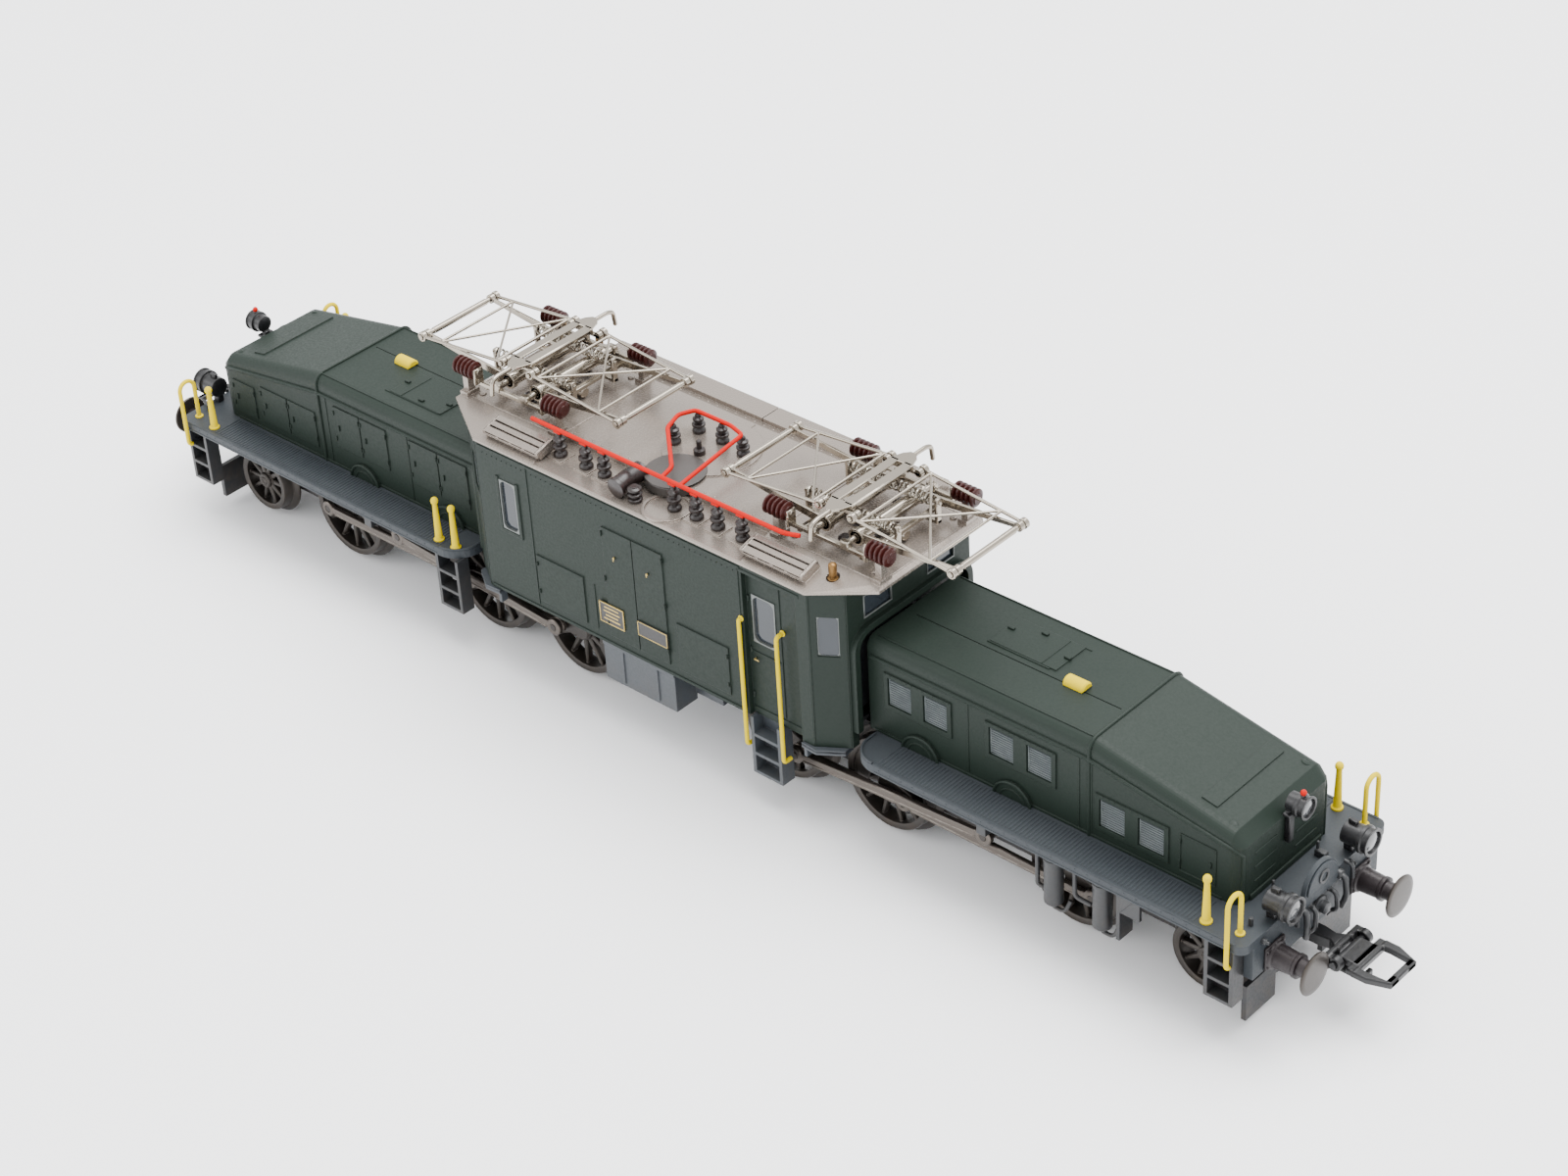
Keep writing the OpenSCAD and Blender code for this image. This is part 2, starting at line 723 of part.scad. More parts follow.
// Body shell: walls, recessed doors, window openings and the hood passages
module body_shell() {
    difference() {
        union() {
            difference() {
                translate([0, 0, body_z0]) linear_extrude(height = 44 - body_z0) body_plan(0);
                translate([0, 0, body_z0 - 1])
                    linear_extrude(height = 46 - body_z0) body_plan(1);
                both_ends()
                    span([door_x0, -body_y - 1, body_z0 - 1], [door_x1, -body_y + 2, 41.4]);
            }
            both_ends() {
                span([door_x0 - 0.8, -body_y + door_in, body_z0],
                     [door_x1 + 0.8, -body_y + 1.7, 41.6]);
                span([door_x0 - 0.8, -body_y + 0.1, body_z0], [door_x0, -body_y + 1.7, 41.6]);
                span([door_x1, -body_y + 0.1, body_z0], [door_x1 + 0.8, -body_y + 1.7, 41.6]);
                half_walls();
            }
        }
        hull() {
            roof_form();
            translate([0, 0, 5]) roof_form();
        }
        both_ends() {
            half_windows(-2, 3);
            translate([body_x - 2, 0, 0])
                rotate([90, 0, 90]) linear_extrude(height = 5) arch_outline(0);
        }
    }
}

// Panes set in the window openings
module glazing() {
    both_ends() half_windows(0.3, 0.7);
}

// Floor with wheel wells, door recesses and pivot bosses
module underframe() {
    difference() {
        union() {
            translate([0, 0, body_z0]) linear_extrude(height = 1.4) body_plan(1.02);
            both_ends()
                translate([pivot_x, 0, body_z0 + 1.4]) cylinder(r = 2.2, h = 3);
        }
        both_ends() {
            both_sides()
                span([11, 4.3, body_z0 - 1], [40, 12.4, body_z0 + 3]);
            span([door_x0 - 0.9, -body_y, body_z0 - 1],
                 [door_x1 + 0.9, -body_y + 1.72, body_z0 + 3]);
            translate([pivot_x, 0, body_z0 - 1]) cylinder(r = 1, h = 5);
        }
    }
}

// Steps of one cab: back plate with cheeks and three treads
module cab_steps() {
    y0 = -body_y - 0.3;
    y1 = -14.2;
    span([door_x0 + 0.2, y1 - 0.4, 5.8], [27, y1, body_z0]);
    for (x = [door_x0 + 0.2, 26.4]) span([x, y0, 5.8], [x + 0.6, y1, body_z0]);
    for (z = [5.8, 9.2, 12.6]) span([door_x0 + 0.2, y0, z], [27, y1, z + 0.5]);
}

// A 0.8 thick plate of the given outline, hung under the floor
module floor_plate() {
    translate([0, 0, body_z0 - 0.8]) linear_extrude(height = 0.8) children();
}

// Equipment boxes between the bogies, cab steps and corner platforms
module underfloor_gear() {
    span([-10, -11, 9.2], [10, 11, body_z0]);
    both_ends() {
        span([-10.4, -15.3, 8], [4.4, -10.8, 15]);
        span([-10.4, -15.5, 14.4], [4.4, -10.8, body_z0]);
        for (x = [-6.6, 0.6]) span([x, -15.5, 8.6], [x + 0.4, -15, 14.6]);
        cab_steps();
        both_sides()
            floor_plate()
                polygon([[31.6, -15], [31.3, -16.9], [34.2, -17.1], [37.8, -14.7], [37.6, -12.6]]);
    }
}

// Handrails beside each recessed door, hooked in to the steps
module handrails() {
    y = -body_y - 0.5;
    both_ends() {
        wire([[20.5, -body_y, 33], [20.5, y, 33], [20.5, y, 10.6], [20.5, -15.5, 10.6]], 0.42);
        wire([
            [27.7, -body_y + door_in, 33], [27.7, y, 33], [27.7, y, 10.6], [27.7, -15.5, 10.6]
        ], 0.42);
    }
}

// Blank maker's and number plates and the small door latches, both sides
module side_plates() {
    both_ends() {
        span([-8.9, -body_y - 0.5, 20.1], [-3.7, -body_y - 0.2, 23.9]);
        span([-0.9, -body_y - 0.5, 20.9], [5.4, -body_y - 0.2, 23.7]);
        for (x = [-4.7, 2.1]) span([x - 0.2, -body_y - 0.4, 32.4], [x + 0.2, -body_y - 0.2, 33.6]);
    }
}

// ---------------------------------------------------------------- roof

// Roof over one half of the length: flat top, sloping sides, cut corners and overhang
module roof_form() {
    hull() {
        translate([0, 0, body_z1])
            linear_extrude(height = 0.3)
                polygon([
                    [corner_x, -16.8], [-corner_x, -16.8], [-corner_x, 16.8], [corner_x, 16.8]
                ]);
        translate([0, 0, 43.7])
            linear_extrude(height = 0.5)
                polygon([
                    [42.6, -11.4], [-42.6, -11.4], [-42.6, 11.4], [42.6, 11.4]
                ]);
        translate([0, 0, roof_z - 0.1])
            linear_extrude(height = 0.1)
                polygon([[42, -10.2], [-42, -10.2], [-42, 10.2], [42, 10.2]]);
    }
}

// Slotted ventilator shelf on the sloping roof side
module vent_shelf(x0, x1) {
    translate([0, -12, 44.7])
        rotate([15, 0, 0])
            difference() {
                span([x0, -3.4, -0.6], [x1, 0, 0.3]);
                for (i = [0 : 2]) {
                    w = (x1 - x0 - 2) / 3;
                    x = x0 + 0.8 + i * (w + 0.2);
                    span([x, -4, -0.35], [x + w - 0.3, -3, -0.05]);
                }
                span([x0 + 0.6, -2.4, 0.1], [x1 - 0.6, -1.9, 0.6]);
                span([x0 + 0.6, -1.2, 0.1], [x1 - 0.6, -0.7, 0.6]);
            }
}

// Roof with the insulator trough, vent shelves, walkway strip, hatch ring and cradles
module roof() {
    difference() {
        roof_form();
        span([-trough_x, -18, trough_z], [trough_x, -8.6, 47]);
        for (x = [-21.4, 21.2]) span([x, -8.6, roof_z - 0.15], [x + 0.2, 10, roof_z + 1]);
        both_ends() translate([35, -12.4, 43.2]) cylinder(r = 1, h = 2);
    }
    vent_shelf(20.4, 32.2);
    vent_shelf(-32.2, -20.4);
    for (x = [[-33, -0.1], [0.1, 33]])
        span([x[0], 11.6, body_z1 + 0.2], [x[1], 15.4, 45]);
    translate([-0.5, 1.2, roof_z - 0.1]) cylinder(r = 7.6, h = 0.35);
    translate([3.4, -12.9, trough_z - 0.1])
        difference() {
            cylinder(r = 3.8, h = 0.4);
            translate([0, 0, -1]) cylinder(r = 3.3, h = 3);
        }
    for (x = [-19, -13.6, -9.8, 8.8, 13, 17.8])
        span([x - 1.5, bus_y - 1.5, trough_z - 0.1], [x + 1.5, bus_y + 1.5, trough_z + 0.25]);
    both_ends()
        both_sides()
            for (s = [-1, 1]) {
                x = panto_x + s * insulator_dx;
                span([x - 0.8, insulator_y - 1.3, 44], [x + 0.8, insulator_y + 1.3, 45.2]);
                span([x - 0.55, insulator_y - 0.7, 45],
                     [x + 0.55, insulator_y + 0.7, insulator_z - insulator_r]);
            }
}

// Ribbed insulator standing on z = 0
module ribbed_post(h, r, ribs) {
    step = h / ribs;
    rotate_extrude()
        union() {
            square([r * 0.55, h]);
            for (i = [0 : ribs - 1])
                translate([0, i * step])
                    polygon([
                        [0, 0], [r * (1 - i * 0.08), 0], [r * (1 - i * 0.08), step * 0.3],
                        [r * 0.5, step * 0.75], [0, step * 0.75]
                    ]);
        }
}

// Black post insulators of the roof line
module post_insulators() {
    for (x = [-19, -13.6, -9.8, 4.4, 8.8, 13, 17.8]) {
        base_z = x == 4.4 ? trough_z : trough_z + 0.25;
        translate([x, bus_y, base_z]) ribbed_post(bus_z - 0.43 - base_z, 1.25, 4);
    }
    for (p = [[-6, -1.2], [-5.2, 3.3], [-0.4, 3.3], [4.4, 2.6]])
        translate([p[0], p[1], roof_z + 0.25]) ribbed_post(48.4 - 0.43 - roof_z - 0.25, 1.2, 3);
}

// Red bus-bar with its loop over the roof hatch
module busbar() {
    z = 48.4;
    wire([[-24.6, bus_y, bus_z], [26, bus_y, bus_z], [28.2, -11.4, bus_z]], 0.42);
    wire([
        [2.2, bus_y, bus_z], [2.1, -10, z - 0.3], [-5.6, -2.8, z], [-6.8, 0.8, z], [-5.6, 3.3, z],
        [1.5, 3.3, z], [4.6, 2.4, z], [5.8, bus_y, bus_z]
    ], 0.42);
}

// Roof fittings: cable bushing, round cover, whistles, bolt and small insulator
module roof_fittings() {
    difference() {
        translate([-0.4, -6.9, trough_z + 0.3]) cylinder(r = 4.7, h = 1.7);
        span([-8, -8.6, 40], [8, 0, roof_z + 0.25]);
    }
    rod([-4.5, -15.3, 44.65], [-4.5, -10, 44.85], 1.6);
    translate([-1.7, -14.2, trough_z]) ribbed_post(2.6, 1.1, 3);
    both_ends() {
        translate([35, -12.4, 43.2]) cylinder(r = 1, h = 1);
        translate([35, -12.4, 44.2]) cylinder(r = 0.8, h = 2.2);
        translate([35, -12.4, 46.4]) sphere(r = 0.8);
    }
    translate([-0.9, -1.2, roof_z + 0.25]) cylinder(r = 0.9, h = 0.9);
    translate([-0.9, -1.2, roof_z + 1.1]) cylinder(r = 0.4, h = 1.5);
}

// Ballast block inside the body
module ballast() {
    span([-19.5, -12.6, 18.6], [19.5, 12.6, 36]);
    span([-9, -12.6, body_z0 + 1.4], [9, 12.6, 19]);
}

// Screws on which the bogies swing
module pivot_screws() {
    both_ends()
        translate([pivot_x, 0, 0]) {
            translate([0, 0, 10.6]) cylinder(r = 1.8, h = 1.3);
            translate([0, 0, 11.8]) cylinder(r = 1, h = body_z0 + 4 - 11.8);
        }
}

// ---------------------------------------------------------------- pantographs

module both_pantos() {
    translate([panto_x, 0, 0]) children();
    translate([-panto_x, 0, 0]) children();
}

// Four ribbed insulators lying along X under each pantograph
module panto_insulators() {
    pitch = (insulator_len - 0.4) / 4;
    core = insulator_r * 0.62;
    both_pantos()
        for (sx = [-1, 1], sy = [-1, 1])
            translate([sx * insulator_dx - insulator_len / 2, sy * insulator_y, insulator_z])
                rotate([0, 90, 0])
                    rotate_extrude()
                        union() {
                            square([core, insulator_len]);
                            for (i = [0 : 3])
                                translate([0, 0.25 + i * pitch])
                                    polygon([
                                        [0, 0], [insulator_r * 0.88, 0], [insulator_r, 0.25],
                                        [insulator_r, 0.5], [insulator_r * 0.88, 0.75], [0, 0.75]
                                    ]);
                        }
}

// Fixed base frames with the arm shafts, main springs, their lugs and the lifting cylinder
module panto_bases() {
    inner = insulator_dx - insulator_len / 2;
    both_pantos() {
        both_sides() {
            span([-inner, insulator_y - 0.4, 46.9], [inner, insulator_y + 0.4, 47.7]);
            for (s = [-1, 1])
                span([s * inner - (s + 1) / 2 * 0.5, insulator_y - 0.9, 46.9],
                     [s * inner + (1 - s) / 2 * 0.5, insulator_y + 0.9, 49.6]);
        }
        for (s = [-1, 1]) {
            bar_y(s * shaft_dx, shaft_z, 0.55, -insulator_y, insulator_y);
            span([s * 5.8 - 0.4, -insulator_y, 46.3], [s * 5.8 + 0.4, insulator_y, 47]);
            for (y = [-4.35, 4.35]) {
                span([s * 8.3 - 0.3, y - 0.5, 46.3], [s * 8.3 + 0.3, y + 0.5, 50.4]);
                span([min(s * 5.4, s * 8.6), y - 0.5, 46.3], [max(s * 5.4, s * 8.6), y + 0.5, 47]);
            }
        }
        for (y = [-4.35, 4.35]) bar_x(y, 49.75, 0.7, -8.1, 8.1);
        bar_x(0, 45.65, 0.9, -6.2, 6.2);
    }
}

// Lower arm frame on the +x side: tube on the shaft, two arms and the knee pin
module lower_arm() {
    difference() {
        bar_y(shaft_dx, shaft_z, 1.1, -7.2, 7.2);
        bar_y(shaft_dx, shaft_z, 0.55 + running_gap, -9, 9);
    }
    both_sides()
        translate([shaft_dx, 6.35, shaft_z])
            rotate([0, -arm_angle, 0]) span([0.8, 0, -0.4], [arm_len, 0.85, 0.4]);
    bar_y(knee_dx, knee_z, 0.45, -8.4, 8.4);
}

// Upper arm frame on the +x side: knee eyes, side tubes, cross braces and head eyes
module upper_arm() {
    y = 7.8;
    dz = (head_z - knee_z) / (knee_dx - shaft_dx);
    brace_x = knee_dx - 4;
    end_x = shaft_dx + 1.3;
    difference() {
        union() {
            both_sides() {
                rod([knee_dx, y, knee_z], [shaft_dx, y, head_z], 0.32);
                bar_y(knee_dx, knee_z, 0.85, 7.35, 8.25);
                bar_y(shaft_dx, head_z, 0.8, 7.35, 8.25);
                rod([brace_x, y, knee_z + dz * 4], [end_x, -y, head_z - dz * 1.3], 0.24);
            }
            rod([end_x, -y, head_z - dz * 1.3], [end_x, y, head_z - dz * 1.3], 0.32);
        }
        bar_y(knee_dx, knee_z, 0.5, -9, 9);
        bar_y(shaft_dx, head_z, 0.46, -9, 9);
    }
}

// Collector head: slotted strip, end horns, side plates and pivot pins
module collector() {
    difference() {
        hull() {
            for (s = [-1, 1]) {
                translate([0, s * 6.4, strip_z]) cylinder(r = 2.1, h = 0.55, $fn = 32);
                translate([0, s * 8.6, strip_z]) cylinder(r = 0.7, h = 0.55, $fn = 32);
            }
        }
        hull()
            for (s = [-1, 1])
                translate([0, s * 5.9, strip_z - 1]) cylinder(r = 0.6, h = 3, $fn = 24);
    }
    both_sides() {
        wire([[0, 8.2, 52], [0, 11.6, 52], [0, 12.7, 51.6], [0, 13.2, 49.6]], 0.4);
        span([-shaft_dx - 0.5, 6.4, 51], [shaft_dx + 0.5, 7.1, 51.6]);
        span([-1, 6.4, 51.3], [1, 7.1, strip_z + 0.2]);
        for (s = [-1, 1]) {
            bar_y(s * shaft_dx, head_z, 0.7, 6.4, 7.15);
            bar_y(s * shaft_dx, head_z, 0.4, 6.5, 8.5);
        }
    }
}

// ---------------------------------------------------------------- sub-parts

module panto(n) { translate([n == 1 ? panto_x : -panto_x, 0, 0]) children(); }

module mirror_x() { mirror([1, 0, 0]) children(); }

color(green) body_shell();
color(dark_grey) underframe();
color(deck_grey) underfloor_gear();
color(roof_grey) roof();
color(glass_blue) glazing();
color(yellow) handrails();
color(brass) side_plates();
color(insulator_black) post_insulators();
color(bus_red) busbar();
color(insulator_black) roof_fittings();
color(dark_grey) ballast();
color(steel) pivot_screws();
color(insulator_brown) panto_insulators();
color(nickel) panto_bases();
color(nickel) panto(1) lower_arm();  // p1_lower_a
color(nickel) panto(1) mirror_x() lower_arm();  // p1_lower_b
color(nickel) panto(1) upper_arm();  // p1_upper_a
color(nickel) panto(1) mirror_x() upper_arm();  // p1_upper_b
color(nickel) panto(1) collector();  // p1_head
color(nickel) panto(2) lower_arm();  // p2_lower_a
color(nickel) panto(2) mirror_x() lower_arm();  // p2_lower_b
color(nickel) panto(2) upper_arm();  // p2_upper_a
color(nickel) panto(2) mirror_x() upper_arm();  // p2_upper_b
color(nickel) panto(2) collector();  // p2_head
color(steel) bogie_frame();  // b1_frame
color(deck_grey) deck();  // b1_deck
color(green) hood();  // b1_hood
color(louvre_grey) grilles();  // b1_grilles
color(yellow) posts();  // b1_posts
color(dark_grey) lamps();  // b1_lamps
color(dark_grey) buffers();  // b1_buffers
color(dark_grey) fittings();  // b1_fittings
color(dark_grey) coupler();  // b1_coupler
color(dark_grey) loop();  // b1_loop
color(steel) end_2() bogie_frame();  // b2_frame
color(deck_grey) end_2() deck();  // b2_deck
color(green) end_2() hood();  // b2_hood
color(louvre_grey) end_2() grilles();  // b2_grilles
color(yellow) end_2() posts();  // b2_posts
color(dark_grey) end_2() lamps();  // b2_lamps
color(dark_grey) end_2() buffers();  // b2_buffers
color(dark_grey) end_2() fittings();  // b2_fittings
color(dark_grey) end_2() coupler();  // b2_coupler
color(dark_grey) end_2() loop();  // b2_loop
color(wheel_dark) carrier();  // b1_carrier
color(wheel_dark) driver(0, crank_1);  // b1_driver_1
color(wheel_dark) driver(1, crank_1);  // b1_driver_2
color(wheel_dark) driver(2, crank_1);  // b1_driver_3
color(wheel_dark) jackshaft(crank_1, true);  // b1_jackshaft
color(steel) mirror([0, 1, 0]) rods(crank_1[0]);  // b1_rods_near
color(steel) rods(crank_1[1]);  // b1_rods_far
color(wheel_dark) end_2() carrier();  // b2_carrier
color(wheel_dark) end_2() driver(0, crank_2);  // b2_driver_1
color(wheel_dark) end_2() driver(1, crank_2);  // b2_driver_2
color(wheel_dark) end_2() driver(2, crank_2);  // b2_driver_3
color(wheel_dark) end_2() jackshaft(crank_2, false);  // b2_jackshaft
color(steel) end_2() rods(crank_2[1]);  // b2_rods_near
color(steel) end_2() mirror([0, 1, 0]) rods(crank_2[0]);  // b2_rods_far
color(steel) motor_body();  // motor
color(brass) pinion();  // motor_pinion
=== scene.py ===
import bpy
import bmesh
import json
import math
from mathutils import Matrix, Vector


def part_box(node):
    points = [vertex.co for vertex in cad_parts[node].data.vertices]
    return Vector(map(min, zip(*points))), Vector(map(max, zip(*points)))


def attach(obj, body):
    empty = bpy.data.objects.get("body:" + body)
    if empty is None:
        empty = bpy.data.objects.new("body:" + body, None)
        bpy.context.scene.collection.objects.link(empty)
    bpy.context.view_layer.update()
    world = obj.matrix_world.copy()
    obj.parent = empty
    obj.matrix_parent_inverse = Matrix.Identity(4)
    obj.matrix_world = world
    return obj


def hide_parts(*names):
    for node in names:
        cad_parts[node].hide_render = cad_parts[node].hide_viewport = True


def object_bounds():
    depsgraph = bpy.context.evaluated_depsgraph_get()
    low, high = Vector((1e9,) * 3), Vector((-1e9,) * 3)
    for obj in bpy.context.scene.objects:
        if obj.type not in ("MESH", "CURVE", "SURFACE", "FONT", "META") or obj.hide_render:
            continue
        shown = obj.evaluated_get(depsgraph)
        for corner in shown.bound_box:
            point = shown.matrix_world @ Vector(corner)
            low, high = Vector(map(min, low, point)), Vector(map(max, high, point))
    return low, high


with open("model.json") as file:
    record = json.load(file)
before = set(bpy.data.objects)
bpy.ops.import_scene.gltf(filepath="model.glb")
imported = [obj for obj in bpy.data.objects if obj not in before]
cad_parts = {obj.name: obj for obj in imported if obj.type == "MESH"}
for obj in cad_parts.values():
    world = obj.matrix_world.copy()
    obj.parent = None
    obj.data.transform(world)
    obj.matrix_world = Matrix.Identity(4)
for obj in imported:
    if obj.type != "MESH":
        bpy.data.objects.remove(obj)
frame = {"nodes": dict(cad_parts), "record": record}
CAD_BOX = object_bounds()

# Lengths below are in millimetres; MM turns them into the frame's metres.
# End 2 is end 1 turned half round, so every end piece is drawn once, for end 1.
MM = 0.001
IDENTITY = Matrix.Identity(4)
HALF_TURN = Matrix.Rotation(math.pi, 4, "Z")
MIRROR_Y = Matrix.Scale(-1, 4, (0, 1, 0))
MIRROR_X = Matrix.Scale(-1, 4, (1, 0, 0))
ENDS = {1: IDENTITY, 2: HALF_TURN}
SIDES = (IDENTITY, MIRROR_Y)
BOTH = tuple(ENDS.values())
# The two directions of an outline that lies flat, or stands across or along the part
FLAT = (1, 0, 0), (0, 1, 0)
ACROSS = (0, 1, 0), (0, 0, 1)
ALONG = (1, 0, 0), (0, 0, 1)


def at(x, y, z):
    return Matrix.Translation((x, y, z))


def joint_mm(name):
    """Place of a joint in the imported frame, in millimetres."""
    for joint in frame["record"]["behaviour"]["joints"]:
        if joint["name"] == name:
            return [v / MM for v in joint["pos_m"]]


def cad(node):
    """Lowest and highest corner of a CAD node, in millimetres."""
    lo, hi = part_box(node)
    return [v / MM for v in lo], [v / MM for v in hi]


# ---------------------------------------------------------------- shapes


def basis(axis):
    """The axis as a unit vector, with two directions square to it."""
    axis = Vector(axis).normalized()
    u = axis.orthogonal().normalized()
    return axis, u, axis.cross(u)


def stitched(low, high, n):
    """Faces that join two rings of n points, numbered from low and from high."""
    return [[low + i, low + (i + 1) % n, high + (i + 1) % n, high + i] for i in range(n)]


class Shape:
    """A mesh put together from closed solids, all placed by self.place."""

    def __init__(self, place=IDENTITY):
        self.bm = bmesh.new()
        self.place = place

    def mesh(self, points, faces):
        verts = [self.bm.verts.new(self.place @ Vector(p) * MM) for p in points]
        for face in faces:
            self.bm.faces.new([verts[i] for i in face])

    def box(self, lo, hi, c=0.1):
        """A box with chamfered edges."""
        lo, hi = [min(a, b) for a, b in zip(lo, hi)], [max(a, b) for a, b in zip(lo, hi)]
        c = min([c] + [0.3 * (b - a) for a, b in zip(lo, hi)])
        index = {}
        points = []
        signs = [(x, y, z) for x in (0, 1) for y in (0, 1) for z in (0, 1)]
        for s in signs:
            for face in range(3):
                p = []
                for k in range(3):
                    edge = hi[k] if s[k] else lo[k]
                    p.append(edge if k == face else edge + (-c if s[k] else c))
                index[s, face] = len(points)
                points.append(p)
        faces = []
        for k in range(3):
            u, v = [j for j in range(3) if j != k]
            for side in (0, 1):
                ring = []
                for a, b in ((0, 0), (1, 0), (1, 1), (0, 1)):
                    s = [0, 0, 0]
                    s[k], s[u], s[v] = side, a, b
                    ring.append(index[tuple(s), k])
                faces.append(ring)
            for a in (0, 1):
                for b in (0, 1):
                    low, high = [0, 0, 0], [0, 0, 0]
                    low[u] = high[u] = a
                    low[v] = high[v] = b
                    high[k] = 1
                    low, high = tuple(low), tuple(high)
                    faces.append([index[low, u], index[high, u], index[high, v], index[low, v]])
        faces += [[index[s, 0], index[s, 1], index[s, 2]] for s in signs]
        self.mesh(points, faces)

    def lathe(self, origin, axis, profile, seg=24):
        """A turned solid: profile is (height, radius) pairs along the axis from the origin."""
        axis, u, v = basis(axis)
        origin = Vector(origin)
        points = []
        rings = []
        if profile[0][1] > 0:
            profile = [(profile[0][0], 0)] + list(profile)
        if profile[-1][1] > 0:
            profile = list(profile) + [(profile[-1][0], 0)]
        for h, r in profile:
            centre = origin + axis * h
            if r == 0:
                rings.append([len(points)])
                points.append(centre)
                continue
            rings.append(list(range(len(points), len(points) + seg)))
            for i in range(seg):
                a = 2 * math.pi * i / seg
                points.append(centre + (u * math.cos(a) + v * math.sin(a)) * r)
        faces = []
        for low, high in zip(rings, rings[1:]):
            for i in range(seg):
                j = (i + 1) % seg
                if len(low) == 1:
                    faces.append([low[0], high[j], high[i]])
                elif len(high) == 1:
                    faces.append([low[i], low[j], high[0]])
                else:
                    faces.append([low[i], low[j], high[j], high[i]])
        self.mesh(points, faces)

    def ring(self, origin, axis, profile, seg=32):
        """A closed profile of (height, radius) pairs swept round the axis, with an open middle."""
        axis, u, v = basis(axis)
        points = []
        faces = []
        n = len(profile)
        for i in range(seg):
            a = 2 * math.pi * i / seg
            out = u * math.cos(a) + v * math.sin(a)
            points += [Vector(origin) + axis * h + out * r for h, r in profile]
            faces += stitched(i * n, (i + 1) % seg * n, n)
        self.mesh(points, faces)

    def bar(self, a, b, r, seg=16):
        """A round bar from a to b with chamfered ends."""
        a, b = Vector(a), Vector(b)
        length = (b - a).length
        c = min(0.06, 0.3 * r, 0.3 * length)
        self.lathe(a, b - a, [(0, r - c), (c, r), (length - c, r), (length, r - c)], seg)

    def ball(self, centre, r, seg=16, rows=8):
        profile = [
            (-r * math.cos(math.pi * i / rows), r * math.sin(math.pi * i / rows))
            for i in range(rows + 1)
        ]
        profile[0] = (-r, 0)
        profile[-1] = (r, 0)
        self.lathe(centre, (0, 0, 1), profile, seg)

    def sweep(self, path, r, seg=8):
        """A tube along a list of points."""
        path = [Vector(p) for p in path]
        last = len(path) - 1
        tangents = []
        for i in range(last + 1):
            ahead = path[min(i + 1, last)] - path[max(i - 1, 0)]
            tangents.append(ahead.normalized())
        side = tangents[0].orthogonal().normalized()
        points = []
        for p, t in zip(path, tangents):
            side = (side - t * side.dot(t)).normalized()
            up = t.cross(side)
            for k in range(seg):
                a = 2 * math.pi * k / seg
                points.append(p + (side * math.cos(a) + up * math.sin(a)) * r)
        faces = [list(range(seg)), list(range(last * seg, (last + 1) * seg))]
        for i in range(last):
            faces += stitched(i * seg, (i + 1) * seg, seg)
        self.mesh(points, faces)

    def wire(self, corners, r, bend=1.0, seg=10, steps=6):
        """A tube along straight runs with rounded bends."""
        corners = [Vector(p) for p in corners]
        path = [corners[0]]
        for before, corner, after in zip(corners, corners[1:], corners[2:]):
            a = before - corner
            b = after - corner
            reach = min(bend, 0.45 * a.length, 0.45 * b.length)
            start = corner + a.normalized() * reach
            end = corner + b.normalized() * reach
            for i in range(steps + 1):
                t = i / steps
                path.append(start * (1 - t) ** 2 + corner * 2 * t * (1 - t) + end * t ** 2)
        path.append(corners[-1])
        self.sweep(path, r, seg)

    def coil(self, a, b, radius, r, turns, per_turn=12):
        """A coil spring between a and b."""
        a, b = Vector(a), Vector(b)
        u, v = basis(b - a)[1:]
        path = []
        count = turns * per_turn
        for i in range(count + 1):
            angle = 2 * math.pi * i / per_turn
            out = u * math.cos(angle) + v * math.sin(angle)
            path.append(a + (b - a) * i / count + out * radius)
        self.sweep(path, r, 6)

    def plate(self, outline, origin, u, v, depth, c=0.08):
        """An outline of (u, v) pairs given a depth along u x v, with both rims chamfered."""
        u, v = Vector(u), Vector(v)
        w = u.cross(v)
        c = min(c, 0.3 * abs(depth))
        sign = 1 if depth > 0 else -1
        small = inset(outline, c)
        rings = [
            (small, 0), (outline, c * sign), (outline, depth - c * sign), (small, depth)
        ]
        n = len(outline)
        points = []
        for shape, h in rings:
            points += [Vector(origin) + u * x + v * y + w * h for x, y in shape]
        faces = [list(range(n)), list(range(3 * n, 4 * n))]
        for k in range(3):
            faces += stitched(k * n, (k + 1) * n, n)
        self.mesh(points, faces)

    def done(self, name, body, material, slot, *stands_for, sharp=38):
        """Turns the solids into one object that rides on a body."""
        bmesh.ops.recalc_face_normals(self.bm, faces=self.bm.faces)
        data = bpy.data.meshes.new(name)
        self.bm.to_mesh(data)
        self.bm.free()
        data.shade_smooth()
        data.set_sharp_from_angle(angle=math.radians(sharp))
        obj = bpy.data.objects.new(name, data)
        bpy.context.scene.collection.objects.link(obj)
        data.materials.append(material)
        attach(obj, body)
        if stands_for:
            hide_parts(*stands_for)
        return obj


def piece(name, body, material, slot, draw, places, *stands_for):
    """One object, drawn by the same function at each of the places."""
    s = Shape()
    for place in places:
        s.place = place
        draw(s)
    s.done(name, body, material, slot, *stands_for)


